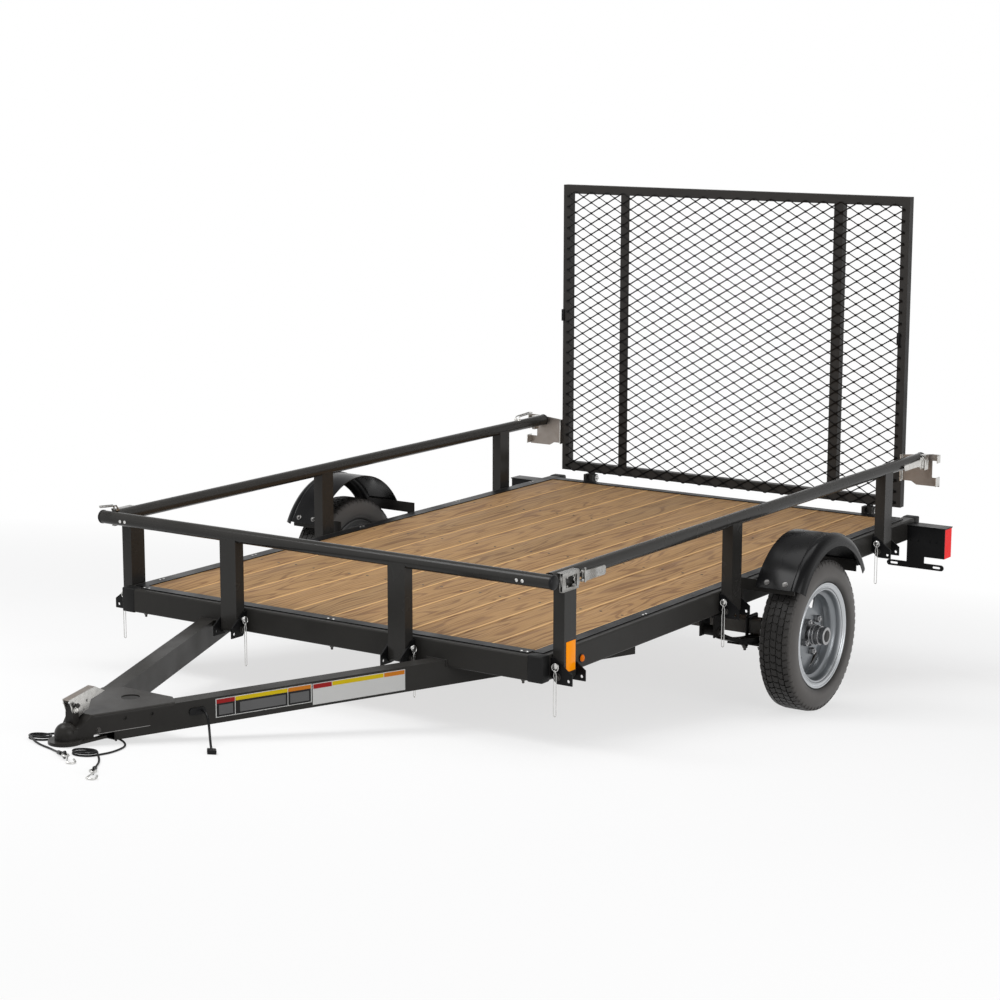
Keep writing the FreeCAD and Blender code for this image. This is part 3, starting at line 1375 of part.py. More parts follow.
def build_catches():
    """Bare steel plates on the gate's sides, with an upper and a lower arm."""
    low = "(catch_rise)"
    high = "(catch_rise + catch_height)"
    inner = "gate_half_width"
    edge = "(gate_half_width + catch_width)"
    tip = f"({edge} + catch_arm_reach)"
    points = [
        (inner, low), (f"{inner} + catch_width / 3", low), (f"{inner} + catch_width / 2", f"{low} - catch_lap"),
        (tip, f"{low} - catch_lap"), (tip, f"{low} - catch_lap + catch_arm_height"),
        (edge, f"{low} - catch_lap + catch_arm_height"), (edge, f"{high} - catch_lap"),
        (tip, f"{high} - catch_lap"), (tip, f"{high} + catch_lap"), (edge, f"{high} + catch_lap"),
        (inner, high),
    ]
    plates = []
    for side, sign in SIDES.items():
        outline = [(f"{sign} * ({aside})", up) for aside, up in points]
        plates.append(prism("Catch" + side, "end", GATE_BACK, outline, "catch_thickness"))
    keep("gate_catches", group("GateCatches", plates))


def build_toggles():
    """The toggle latches at both ends of each side rail."""
    for side, sign in SIDES.items():
        parts = []
        top = "(rail_height + rail_radius)"
        aside = f"{sign} * {RAIL_MIDDLE}"
        front = f"({FRONT_RAIL_X} - rail_radius - rail_corner_gap - toggle_end_gap)"
        rear = "(rail_rear_end + toggle_end_gap)"
        for name, end, way in (("Front", front, "-1"), ("Rear", rear, "1")):
            middle = f"{end} + {way} * toggle_length / 2"
            parts.append(block(f"Toggle{name}{side}", (middle, aside, f"{top} + toggle_height / 2"),
                               ("toggle_length", "toggle_width", "toggle_height")))
        keep(f"toggle_latches_{side}", group("ToggleLatches" + side, parts))


def build_lamps():
    """Tail lamps on plates beside the rear member, and round side markers."""
    plates = []
    housings = []
    lenses = []
    markers = []
    low = "(-lamp_top_drop - lamp_height)"
    front = "(-lamp_plate_behind)"
    for side, sign in SIDES.items():
        face = f"{front} - lamp_plate_thickness"
        plates.append(lamp_plate(side, sign, low, front))
        middle = f"{sign} * (lamp_inner_face + lamp_outer_face - lens_side) / 2"
        wide = "(lamp_outer_face - lens_side - lamp_inner_face - 2 * clamp_gap)"
        housings.append(block("LampHousing" + side,
                              (f"{face} - lamp_housing_depth / 2", middle, f"{low} + lamp_height / 2"),
                              ("lamp_housing_depth", wide, "lamp_height - 2 * clamp_gap")))
        lens = block("Lens" + side,
                     (f"{face} - (lamp_housing_depth + lens_depth) / 2",
                      f"{sign} * (lamp_inner_face + lamp_outer_face) / 2", f"{low} + lamp_height / 2"),
                     ("lamp_housing_depth + lens_depth", "lamp_outer_face - lamp_inner_face",
                      "lamp_height"))
        room = block("LensRoom" + side,
                     (f"{face} - lamp_housing_depth / 2", f"{middle} - {sign} * cut_overrun / 2",
                      f"{low} + lamp_height / 2"),
                     ("lamp_housing_depth + 2 * clamp_gap", f"{wide} + 2 * clamp_gap + cut_overrun",
                      "lamp_height + cut_overrun"))
        lenses.append(cut("TailLens" + side, lens, [room]))
        start = "frame_half_width" if side == "left" else "-frame_half_width - marker_thickness"
        markers.append(rod("Marker" + side, ("marker_ahead", start, "-marker_drop"), "Y", "marker_radius",
                           "marker_thickness"))
    keep("lamp_plates", group("LampPlates", plates))
    keep("tail_lamp_housings", group("TailLampHousings", housings))
    keep("tail_lamp_lenses", group("TailLampLenses", lenses))
    keep("side_markers", group("SideMarkers", markers))


def lamp_plate(side, sign, low, front):
    """The plate that carries a lamp; the left one also carries the number strip."""
    body = new_body("LampPlate" + side)
    outline = rectangle("frame_half_width", low, "lamp_outer_face", "-lamp_top_drop")
    start = f"{front} - lamp_plate_thickness"
    pad(body, sketch(body, "LampFace" + side, "end", start,
                     [[(f"{sign} * ({aside})", up) for aside, up in outline]]), "lamp_plate_thickness")
    if side == "left":
        middle = "(frame_half_width + number_neck_width / 2)"
        neck = rectangle(f"{middle} - number_neck_width / 2", "-number_strip_drop - number_strip_height / 2",
                         f"{middle} + number_neck_width / 2", low)
        pad(body, sketch(body, "NumberNeck", "end", start, [neck]), "number_strip_thickness")
        half = "(number_strip_length / 2)"
        top = "(-number_strip_drop)"
        strip = rectangle(f"{middle} - {half}", f"{top} - number_strip_height", f"{middle} + {half}", top)
        slots = []
        for way in ("1", "-1"):
            slot = f"({middle} + {way} * ({half} - number_slot_length))"
            slots.append(rectangle(f"{slot} - number_slot_length / 2",
                                   f"{top} - (number_strip_height + number_slot_height) / 2",
                                   f"{slot} + number_slot_length / 2",
                                   f"{top} - (number_strip_height - number_slot_height) / 2"))
        pad(body, sketch(body, "NumberStrip", "end", start, [strip] + slots), "number_strip_thickness")
    return body


def build_grommet():
    """The oval grommet on the left tongue tube, flush with its outer face."""
    item = new_body("WiringGrommet")
    half = "((grommet_length - grommet_height) / 2)"
    top = "grommet_height / 2"
    outline = [(f"-{half}", f"-({top})"), (half, f"-({top})", "grommet_end_radius", "left"), (half, top),
               (f"-{half}", top, "grommet_end_radius", "left")]
    pad(item, sketch(item, "GrommetOutline", "side", "0", [outline]), "grommet_thickness")
    turn = Rotation(Vector(0, 0, 1), math.degrees(-math.atan(number(TONGUE_SLOPE))) + FULL_TURN / 2)
    item.Placement.Rotation = turn
    bind(item, ".Placement.Base.x", f"{FRONT_FACE} + grommet_ahead")
    bind(item, ".Placement.Base.y", f"tongue_spread - grommet_ahead * {TONGUE_SLOPE}")
    bind(item, ".Placement.Base.z", "-grommet_drop")
    keep("wiring_grommet", group("WiringGrommetPiece", [item]))


def build_anchor():
    """The bolt under the coupler's plate whose square nut holds both safety cables."""
    ahead = f"{FRONT_FACE} + anchor_ahead"
    shank = rod("AnchorShank", (ahead, "0", "-anchor_drop"), "Z", "anchor_shank_radius",
                f"{TONGUE_TOP} + anchor_drop")
    nut = block("AnchorNut", (ahead, "0", "-anchor_drop"), ("anchor_side", "anchor_side", "anchor_height"))
    keep("cable_anchor", fuse("CableAnchor", [shank, nut]))


# Routes of the cords. Each point is ahead of the place where the cord leaves the
# trailer, aside of it, and above the floor. A safety cable runs to its coil, and
# from the coil to its ferrule.
WIRE_ROUTE = [(20, 44, 50), (40, 68, 18), (68, 96, 5.8), (94, 120, 5.8)]
LEFT_ROUTE_IN = [(14, 71, 4.5), (48, 107, 3.2), (95, 129, 3), (150, 145, 3), (190, 146, 3), (212.5, 146, 3)]
LEFT_ROUTE_OUT = [(18.1, 18.1, 9.6), (44, 49, 5), (77, 80, 3.4), (117, 109, 3.4), (147, 133, 6.5)]
RIGHT_ROUTE_IN = [(14, -69, 4.6), (45, -97, 3.2), (86, -111, 3), (130, -116, 3), (152.5, -116, 3)]
RIGHT_ROUTE_OUT = [(12, 20.8, 9.4), (31, 53, 5.2), (46, 93, 3.4), (58, 135, 3.4), (72, 167, 3.6), (88, 194.7, 6.4)]
FIRST_RUN = 30
LEFT_COIL_OUT = (math.radians(45), 9.6)
RIGHT_COIL_OUT = (math.radians(60), 9.6)


def tube_path(points):
    """Straight runs joined by tangent arcs, and the arcs' radii."""
    edges = []
    radii = []
    start = points[0]
    for before, corner, after in zip(points, points[1:], points[2:]):
        arriving = corner - before
        leaving = after - corner
        half_turn = arriving.getAngle(leaving) / 2
        setback = min(arriving.Length, leaving.Length) * SETBACK_SHARE
        radii.append(setback / math.tan(half_turn))
        arriving.normalize()
        leaving.normalize()
        first = corner - arriving * setback
        last = corner + leaving * setback
        inward = (leaving - arriving).normalize()
        middle = corner + inward * (radii[-1] / math.cos(half_turn) - radii[-1])
        edges.append(Part.LineSegment(start, first).toShape())
        edges.append(Part.Arc(first, middle, last).toShape())
        start = last
    edges.append(Part.LineSegment(start, points[-1]).toShape())
    return Part.Wire(edges), radii


def round_bar(path, radius):
    """A round bar along a path of tangent edges."""
    start = path.Edges[0].firstVertex().Point
    heading = path.Edges[0].tangentAt(path.Edges[0].FirstParameter)
    section = Part.Wire(Part.makeCircle(radius, start, heading))
    return path.makePipeShell([section], True, True)


def cord_tube(name, points, diameter):
    """A cord's tube, with its length and its bends printed."""
    path, radii = tube_path(points)
    tube = round_bar(path, diameter / 2)
    share = tube.Volume / (math.pi * diameter ** 2 / 4 * path.Length)
    print(name, "length", round(path.Length, 1), "volume share", round(share, 4),
          "least radius", round(min(radii), 1), "points", [[round(value, 2) for value in point] for point in points])
    return tube


def feature(label, shape):
    """A piece whose shape is worked out in the floor's own frame."""
    item = doc.addObject("Part::Feature", label.title().replace("_", ""))
    item.Shape = shape
    return keep(label, item)


def build_wiring(rest):
    """The trailer's wire from its grommet down to the floor, and its flat plug."""
    slope = math.atan(number(TONGUE_SLOPE))
    along = Vector(math.cos(slope), -math.sin(slope), 0)
    outward = Vector(math.sin(slope), math.cos(slope), 0)
    middle = Vector(number(f"{FRONT_FACE} + grommet_ahead"),
                    number(f"tongue_spread - grommet_ahead * {TONGUE_SLOPE}"), -size("grommet_drop"))
    middle = rest.multVec(middle)
    turned_out = rest.Rotation.multVec(outward)
    exit_place = middle + turned_out * size("grommet_thickness")
    exit_place -= rest.Rotation.multVec(along) * size("wire_exit_behind")
    points = [exit_place, exit_place + turned_out * FIRST_RUN]
    points += [Vector(exit_place.x + ahead, exit_place.y + aside, height) for ahead, aside, height in WIRE_ROUTE]
    feature("wiring_cord", cord_tube("wiring_cord", points, size("wire_diameter")))
    feature("wiring_plug", plug_shape(points[-1], points[-1] - points[-2]))


def plug_shape(start, heading):
    """A flat plug on a short round neck, lying in line with its wire."""
    length = size("plug_length")
    neck_end = size("plug_neck_length")
    neck_part = Part.makeCylinder(size("plug_neck_radius"), neck_end, Vector(), Vector(1, 0, 0))
    corner = Vector(neck_end, -size("plug_width") / 2, -size("plug_height") / 2)
    body = Part.makeBox(length - neck_end, size("plug_width"), size("plug_height"), corner)
    body = body.makeFillet(size("plug_corner"), body.Edges)
    shape = neck_part.fuse(body)
    shape.Placement = Placement(start, Rotation(Vector(1, 0, 0), heading))
    return shape


def build_safety_cables(rest):
    """Both safety cables: a run to a coil, the coil, a run to the ferrule, and the hook."""
    ends = []
    hooks = []
    coils = []
    anchor = Vector(number(f"{FRONT_FACE} + anchor_ahead"), 0, -size("anchor_drop"))
    routes = {"left": (LEFT_ROUTE_IN, LEFT_COIL_OUT, LEFT_ROUTE_OUT),
              "right": (RIGHT_ROUTE_IN, RIGHT_COIL_OUT, RIGHT_ROUTE_OUT)}
    for side, (route_in, (heading, height), route_out) in routes.items():
        sign = SIGNS[side]
        leaving = rest.multVec(anchor + Vector(0, sign * size("anchor_side") / 2, 0))
        inward = [leaving, leaving + Vector(0, sign * FIRST_RUN, 0)]
        inward += [Vector(leaving.x + ahead, leaving.y + aside, up) for ahead, aside, up in route_in]
        radius = size("coil_radius")
        middle = Vector(inward[-1].x, inward[-1].y - sign * radius, 0)
        coils.append(coil_shape(middle))
        start = middle + Vector(-sign * math.sin(heading), sign * math.cos(heading), 0) * radius
        start.z = height
        outward = [start] + [Vector(start.x + ahead, start.y + aside, up) for ahead, aside, up in route_out]
        diameter = size("cable_diameter")
        tubes = [cord_tube(f"safety_cable_{side} {name}", points, diameter)
                 for name, points in (("in", inward), ("out", outward))]
        feature(f"safety_cable_{side}", Part.makeCompound(tubes))
        place = Placement(outward[-1], Rotation(Vector(1, 0, 0), outward[-1] - outward[-2]))
        ends.append(cable_end(place))
        hooks.append(hook_shape(place))
    feature("cable_coils", Part.makeCompound(coils))
    feature("cable_ferrules", Part.makeCompound(ends))
    feature("cable_hooks", Part.makeCompound(hooks))


def coil_shape(middle):
    """The outer form of a coil that lies on the floor."""
    half = size("cable_diameter") / 2
    ring = Part.makeCylinder(size("coil_radius") + half, size("coil_height"), middle)
    return ring.cut(Part.makeCylinder(size("coil_radius") - half, size("coil_height"), middle))


def cable_end(place):
    """A ferrule and the cable's eye beyond it, which stands on edge."""
    ferrule = Part.makeCylinder(size("ferrule_radius"), size("ferrule_length"), Vector(), Vector(1, 0, 0))
    radius = size("loop_radius")
    middle = Vector(size("ferrule_length") + size("loop_length"), 0, 0)
    root = Vector(size("ferrule_length") - radius / 2, 0, 0)
    reach = (middle - root).Length
    turn = math.acos(radius / reach)
    upper = middle + Vector(-math.cos(turn), 0, math.sin(turn)) * radius
    lower = middle + Vector(-math.cos(turn), 0, -math.sin(turn)) * radius
    far = middle + Vector(radius, 0, 0)
    path = Part.Wire([Part.LineSegment(root, upper).toShape(), Part.Arc(upper, far, lower).toShape(),
                      Part.LineSegment(lower, root).toShape()])
    leg = size("cable_diameter") / 2
    loop = round_bar(Part.Wire(path.Edges[:2]), leg).fuse(round_bar(Part.Wire([path.Edges[2]]), leg))
    shape = ferrule.fuse(loop)
    shape.Placement = place
    return shape


def hook_shape(place):
    """A bent hook whose closed eye passes through the cable's eye and whose bend lies on the floor."""
    eye = size("hook_eye_radius")
    bend = size("hook_bend_radius")
    reach = size("hook_length")
    crossing = math.asin((eye + bend) / reach)
    first = Vector(math.cos(crossing - math.pi / 2), math.sin(crossing - math.pi / 2), 0) * -eye
    centre = Vector(reach, 0, 0)
    second = centre + Vector(math.cos(crossing - math.pi / 2), math.sin(crossing - math.pi / 2), 0) * bend
    turn = math.radians(EYE_SWEEP) / 2
    middle = Vector(first).normalize() * eye
    spin = Rotation(Vector(0, 0, 1), math.degrees(turn))
    opening = spin.multVec(spin.multVec(middle))
    bottom = centre + Vector(bend, 0, 0)
    tip = centre + Vector(0, bend, 0)
    edges = [Part.Arc(opening, spin.multVec(middle), first).toShape(),
             Part.LineSegment(first, second).toShape(),
             Part.Arc(second, bottom, tip).toShape(),
             Part.LineSegment(tip, tip - Vector(size("hook_tip_length"), 0, 0)).toShape()]
    shape = round_bar(Part.Wire(edges), size("hook_wire_radius"))
    radius = size("loop_radius")
    ahead = size("ferrule_length") + size("loop_length") + radius + size("hook_play")
    pivot = place.multVec(Vector(ahead, 0, 0))
    heading = place.Rotation.multVec(Vector(1, 0, 0))
    level = Vector(heading.x, heading.y, 0).normalize()
    drop = math.asin((pivot.z - size("hook_wire_radius") - size("fit")) / (reach + bend))
    aside = Vector(-level.y, level.x, 0)
    shape.Placement = Placement(pivot, Rotation(aside, math.degrees(drop)).multiply(
        Rotation(Vector(1, 0, 0), level)))
    return shape


def main():
    """Builds every piece, stands the trailer on its floor and writes the files."""
    for build in (build_frame, build_deck, build_tongue, build_coupler, build_axle, build_springs, build_wheels,
                  build_fenders, build_rails, build_brackets, build_gate, build_toggles, build_lamps,
                  build_grommet, build_anchor):
        build()
    doc.recompute()
    rest = stand_on_floor()
    build_wiring(rest)
    build_safety_cables(rest)
    doc.recompute()
    check_and_write()


def rest_pitch():
    """The angle, nose down, at which the tyres and the coupler's lip share a floor."""
    ahead = number(f"{DOME_X} + lip_radius - axle_ahead")
    above = number("axle_drop - dome_drop - lip_drop")
    reach = math.hypot(ahead, above)
    return math.asin(size("tyre_radius") / reach) + math.atan2(above, ahead)


def stand_on_floor():
    """Turns every piece nose down and moves the origin to the middle of the floor."""
    turn = Rotation(Vector(0, 1, 0), math.degrees(rest_pitch()))
    shapes = [item.Shape.copy() for item in NODES.values()]
    whole = Part.makeCompound(shapes)
    whole.Placement = Placement(Vector(), turn)
    box = whole.optimalBoundingBox(False)
    shift = Vector(-(box.XMin + box.XMax) / 2, -(box.YMin + box.YMax) / 2, -box.ZMin)
    rest = Placement(shift, turn)
    for item in NODES.values():
        item.Placement = rest.multiply(item.Placement)
    print("rest placement", [round(value, 4) for value in shift], round(math.degrees(rest_pitch()), 5))
    return rest


def check_and_write():
    """Stops on any failed object, then writes one file for each piece."""
    for item in doc.Objects:
        if {"Invalid", "Error"} & set(item.State):
            raise RuntimeError(f"{item.Label} failed: {item.State}")
    os.makedirs("parts", exist_ok=True)
    for label, item in NODES.items():
        if item.Shape.isNull() or not item.Shape.isValid():
            raise RuntimeError(f"{label} has no valid shape")
        item.Shape.exportStep(f"parts/{label}.step")
    print(len(NODES), "pieces written")


main()
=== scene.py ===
"""Dresses a utility trailer with a plank deck, fold-down rails and a mesh ramp gate.

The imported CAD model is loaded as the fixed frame. Its solids keep their places and get finishes here.
Forms that need more than a solid gives, such as tread, expanded steel, bolts and pins, are built in mesh
code in the trailer's level frame and turned nose down with it.
"""

import logging
import math
import random
from dataclasses import dataclass, field
from enum import Enum
from functools import cache
from typing import Iterable, Optional, Sequence

import bmesh
import bpy
from mathutils import Matrix, Vector
from mathutils.geometry import tessellate_polygon


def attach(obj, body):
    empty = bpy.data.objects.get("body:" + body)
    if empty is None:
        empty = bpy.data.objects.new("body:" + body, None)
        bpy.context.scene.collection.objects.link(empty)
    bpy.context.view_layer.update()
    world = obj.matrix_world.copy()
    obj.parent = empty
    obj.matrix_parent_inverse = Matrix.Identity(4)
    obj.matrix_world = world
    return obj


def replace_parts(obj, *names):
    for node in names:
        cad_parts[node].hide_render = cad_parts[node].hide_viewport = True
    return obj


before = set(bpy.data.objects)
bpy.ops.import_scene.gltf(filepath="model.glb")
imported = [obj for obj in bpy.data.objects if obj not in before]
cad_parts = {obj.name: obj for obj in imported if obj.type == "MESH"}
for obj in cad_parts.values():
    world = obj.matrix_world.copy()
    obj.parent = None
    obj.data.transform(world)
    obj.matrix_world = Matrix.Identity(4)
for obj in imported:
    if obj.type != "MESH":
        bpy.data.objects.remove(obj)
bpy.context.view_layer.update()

LOG = logging.getLogger("trailer")
Point = Sequence[float]
Flat = tuple[float, float]
Rings = Sequence[Sequence[bmesh.types.BMVert]]

PITCH = math.radians(7.24647)
REST = Matrix.Translation((-1.7345184, 0.0, 0.5765435)) @ Matrix.Rotation(PITCH, 4, "Y")
LEVEL = REST @ Matrix.Scale(0.001, 4)
SIDES = (("left", 1), ("right", -1))
SIGNS = (1, -1)

# Places that several pieces share, in millimetres of the level frame.
FRONT_FACE, SIDE_FACE = 2485.0, 811.0
RAIL_ASIDE, RAIL_UP = 835.0, 232.0
WHEEL_AHEAD, WHEEL_ASIDE, WHEEL_UP = 1110.0, 968.0, -184.0
# How far a tongue tube closes in for each millimetre ahead.
TAPER = 477.0 / 1136.0


class Body(str, Enum):
    """The moving groups that a piece can ride on."""

    CHASSIS = "chassis"
    WHEEL_LEFT = "wheel_left"
    WHEEL_RIGHT = "wheel_right"
    GATE = "gate"
    RAIL_LEFT = "left_rail"
    RAIL_RIGHT = "right_rail"
    RAIL_FRONT = "front_rail"


class Plane(Enum):
    """The plane an outline is drawn in, as the two axes it uses and the one it grows along."""

    PLAN = (0, 1, 2)
    SIDE = (0, 2, 1)
    END = (1, 2, 0)


def at(x: float, y: float, z: float) -> Vector:
    """Gives a point of the level frame, in millimetres."""
    return Vector((x, y, z))


def round_axle(angle: float) -> Vector:
    """Gives the way out from an axle, at an angle from straight up towards the front."""
    return at(math.sin(angle), 0, math.cos(angle))


def place_object(name: str, data: bpy.types.ID) -> bpy.types.Object:
    """Puts a new object with this data in the scene.

    Args:
        name: The object's name.
        data: Its mesh, curve, lamp or camera.

    Returns:
        The new object.
    """
    made = bpy.data.objects.new(name, data)
    bpy.context.scene.collection.objects.link(made)
    return made


class Tree:
    """A node tree under construction, with short calls for the usual nodes."""

    def __init__(self, tree: bpy.types.NodeTree) -> None:
        """Starts with an empty tree."""
        self.tree = tree
        self.tree.nodes.clear()

    def set(self, node: bpy.types.Node, **inputs: object) -> bpy.types.Node:
        """Sets or links a node's inputs.

        Args:
            node: The node.
            inputs: A value or a socket for each input, which goes by its name, with spaces as underscores, or
                by i and its number.

        Returns:
            The same node.
        """
        for name, value in inputs.items():
            socket = node.inputs[int(name[1:]) if name[1:].isdigit() else name.replace("_", " ")]
            if isinstance(value, bpy.types.NodeSocket):
                self.tree.links.new(value, socket)
            else:
                socket.default_value = value
        return node

    def add(self, kind: str, **inputs: object) -> bpy.types.Node:
        """Adds a node and sets or links its inputs."""
        return self.set(self.tree.nodes.new(kind), **inputs)

    def maths(self, operation: str, first: object, second: object = 0.0) -> bpy.types.NodeSocket:
        """Adds a Math node and gives its output.

        Args:
            operation: The operation's name.
            first: A value or a socket.
            second: A value or a socket.

        Returns:
            The socket of the result.
        """
        node = self.add("ShaderNodeMath", i0=first, i1=second)
        node.operation = operation
        return node.outputs[0]

    def split(self, place: bpy.types.NodeSocket) -> Sequence[bpy.types.NodeSocket]:
        """Gives the three coordinates of a place."""
        return self.add("ShaderNodeSeparateXYZ", Vector=place).outputs

    def ramp(self, value: bpy.types.NodeSocket,
             stops: Sequence[tuple[float, object]]) -> bpy.types.NodeSocket:
        """Adds a colour ramp.

        Args:
            value: The socket that drives the ramp.
            stops: Place and colour, or place and one number for a grey.

        Returns:
            The socket of the ramp's colour.
        """
        node = self.add("ShaderNodeValToRGB", Fac=value)
        while len(node.color_ramp.elements) < len(stops):
            node.color_ramp.elements.new(0.5)
        for element, (place, colour) in zip(node.color_ramp.elements, stops):
            element.position = place
            element.color = tone(colour) if isinstance(colour, tuple) else (colour, colour, colour, 1.0)
        return node.outputs[0]

    def mix(self, share: object, first: object, second: object, blend: str = "MIX") -> bpy.types.NodeSocket:
        """Adds a colour mix and gives its result.

        Args:
            share: How much of the second colour shows, as a value or a socket.
            first: The first colour or its socket.
            second: The second colour or its socket.
            blend: The way of mixing.

        Returns:
            The socket of the mixed colour.
        """
        node = self.add("ShaderNodeMixRGB", Fac=share, Color1=first, Color2=second)
        node.blend_type = blend
        return node.outputs[0]


class Recipe(Tree):
    """A material under construction, round one main shader."""

    def __init__(self, name: str) -> None:
        """Starts a material with its shader, its output and the piece's coordinates.

        Args:
            name: The material's name.
        """
        self.material = bpy.data.materials.new(name)
        self.material.use_nodes = True
        super().__init__(self.material.node_tree)
        self.shader = self.add("ShaderNodeBsdfPrincipled")
        self.add("ShaderNodeOutputMaterial", Surface=self.shader.outputs[0])
        self.place = self.add("ShaderNodeTexCoord").outputs["Object"]

    def noise(self, scale: float, detail: float = 3.0, stretch: Optional[Point] = None,
              place: Optional[bpy.types.NodeSocket] = None) -> bpy.types.NodeSocket:
        """Adds a noise texture in metres and gives its value.

        Args:
            scale: Features a metre.
            detail: Octaves of detail.
            stretch: A scale for each axis, where the noise is drawn out.
            place: The coordinates, which are the piece's own by default.

        Returns:
            The socket of the noise's value.
        """
        source = place or self.place
        if stretch:
            source = self.add("ShaderNodeMapping", Vector=source, Scale=stretch).outputs[0]
        return self.add("ShaderNodeTexNoise", Vector=source, Scale=scale, Detail=detail).outputs[0]

    def bump(self, height: bpy.types.NodeSocket, strength: float, depth: float,
             **under: bpy.types.NodeSocket) -> bpy.types.NodeSocket:
        """Adds a bump node and gives its normal.

        Args:
            height: The socket that gives the height.
            strength: How much of the bump shows.
            depth: The height of one unit, in metres.
            under: Normal, where there is a bump below this one.

        Returns:
            The socket of the bent normal.
        """
        node = self.add("ShaderNodeBump", Height=height, Strength=strength, Distance=depth, **under)
        return node.outputs[0]

    def feed(self, **sockets: object) -> bpy.types.Material:
        """Sets or links sockets of the main shader and gives the material."""
        self.set(self.shader, **sockets)
        return self.material


def tone(colour: Point, factor: float = 1.0) -> tuple[float, float, float, float]:
    """Gives a colour made lighter or darker, with full opacity."""
    return (*(min(1.0, value * factor) for value in colour), 1.0)


@dataclass(frozen=True)
class Enamel:
    """Sprayed paint on steel, with a faint orange peel and a little dust."""

    name: str
    colour: Point
    roughness: float = 0.42
    peel: float = 0.12
    spread: float = 0.2
    coat: float = 0.0
    shine: float = 0.13
    cloud_scale: float = 9.0
    speck_scale: float = 420.0
    peel_scale: float = 700.0

    def make(self) -> bpy.types.Material:
        """Builds the paint's material.

        Returns:
            The new material.
        """
        recipe = Recipe(self.name)
        cloud = recipe.noise(self.cloud_scale, 5.0)
        speck = recipe.noise(self.speck_scale, 2.0)
        body = recipe.mix(cloud, tone(self.colour, 1.0 - self.spread), tone(self.colour, 1.0 + self.spread))
        dust = recipe.ramp(speck, [(0.62, 0.0), (0.8, 0.3)])
        body = recipe.mix(dust, body, tone(self.colour, 1.9))
        rough = recipe.ramp(cloud, [(0.3, self.roughness - 0.07), (0.75, self.roughness + 0.1)])
        peel = recipe.bump(recipe.noise(self.peel_scale, 2.0), self.peel, 0.0006)
        recipe.feed(Base_Color=body, Roughness=rough, Normal=peel, Specular_IOR_Level=self.shine)
        return recipe.feed(Coat_Weight=self.coat, Coat_Roughness=0.18)


@dataclass(frozen=True)
class Moulded:
    """Moulded plastic with a fine grain."""

    name: str
    colour: Point
    roughness: float = 0.5
    grain: float = 0.25
    shine: float = 0.2
    cloud_scale: float = 30.0
    grain_scale: float = 1500.0

    def make(self) -> bpy.types.Material:
        """Builds the plastic's material.

        Returns:
            The new material.
        """
        recipe = Recipe(self.name)
        cloud = recipe.noise(self.cloud_scale, 4.0)
        body = recipe.mix(cloud, tone(self.colour, 0.8), tone(self.colour, 1.25))
        rough = recipe.ramp(cloud, [(0.3, self.roughness - 0.06), (0.7, self.roughness + 0.08)])
        grain = recipe.bump(recipe.noise(self.grain_scale, 2.0), self.grain, 0.0003)
        return recipe.feed(Base_Color=body, Roughness=rough, Normal=grain, Specular_IOR_Level=self.shine)


@dataclass(frozen=True)
class Plated:
    """Bare or plated metal with fine drawing lines and a mottled sheen."""

    name: str
    colour: Point
    roughness: float = 0.32
    mottle: float = 0.25
    stain: Point = (0.3, 0.24, 0.18)
    stained: float = 0.0
    metallic: float = 1.0
    cloud_scale: float = 60.0
    line_scale: float = 260.0
    patch_scale: float = 26.0

    def make(self) -> bpy.types.Material:
        """Builds the metal's material.

        Returns:
            The new material.
        """
        recipe = Recipe(self.name)
        cloud = recipe.noise(self.cloud_scale, 5.0)
        lines = recipe.noise(self.line_scale, 3.0, (1.0, 1.0, 9.0))
        body = recipe.mix(cloud, tone(self.colour, 1.0 - self.mottle), tone(self.colour, 1.0 + self.mottle))
        if self.stained:
            patch = recipe.ramp(recipe.noise(self.patch_scale, 7.0), [(0.4, 0.0), (0.66, self.stained)])
            body = recipe.mix(patch, body, tone(self.stain))
        rough = recipe.ramp(lines, [(0.3, self.roughness - 0.08), (0.7, self.roughness + 0.14)])
        scratch = recipe.bump(lines, 0.12, 0.0004)
        return recipe.feed(Base_Color=body, Roughness=rough, Normal=scratch, Metallic=self.metallic)


@dataclass(frozen=True)
class Silver:
    """Sprayed silver with metal flake under a clear coat, with painted shade on the wheel's inner side and a
    painted highlight on its outer flange.
    """

    name: str
    colour: Point
    # The lighter colour below is a painted highlight for the outer flange.
    painted_highlight: Point
    # The near black below is painted shade for the wheel's inner side.
    painted_shade: Point = (0.012, 0.0115, 0.011)
    flake_scale: float = 2600.0
    painted_shade_from: Flat = (0.944, 0.956)
    painted_highlight_from: Flat = (1.009, 1.013)

    def make(self) -> bpy.types.Material:
        """Builds the silver's material.

        Returns:
            The new material.
        """
        recipe = Recipe(self.name)
        flake = recipe.noise(self.flake_scale, 1.0)
        cloud = recipe.noise(14.0, 4.0)
        body = recipe.mix(flake, tone(self.colour, 0.78), tone(self.colour, 1.22))
        body = recipe.mix(recipe.ramp(cloud, [(0.35, 0.0), (0.8, 0.35)]), body, tone(self.colour, 0.82))
        aside = recipe.maths("ABSOLUTE", recipe.split(recipe.place)[1])
        # Painted shade: from the disc inwards, the wheel's inner side turns near black.
        inner = recipe.ramp(aside, [(self.painted_shade_from[0], 1.0), (self.painted_shade_from[1], 0.0)])
        body = recipe.mix(inner, body, tone(self.painted_shade))
        # Painted highlight: the outer flange's lip is made much lighter than the barrel.
        half = recipe.maths("MULTIPLY", aside, 0.5)
        painted_highlight = recipe.ramp(half, [(self.painted_highlight_from[0] / 2, 0.0), (self.painted_highlight_from[1] / 2, 1.0)])
        body = recipe.mix(painted_highlight, body, tone(self.painted_highlight))
        rough = recipe.ramp(cloud, [(0.3, 0.3), (0.7, 0.42)])
        peel = recipe.bump(recipe.noise(500.0, 2.0), 0.08, 0.0005)
        recipe.feed(Base_Color=body, Roughness=rough, Normal=peel, Metallic=0.72)
        return recipe.feed(Coat_Weight=0.35, Coat_Roughness=0.2)


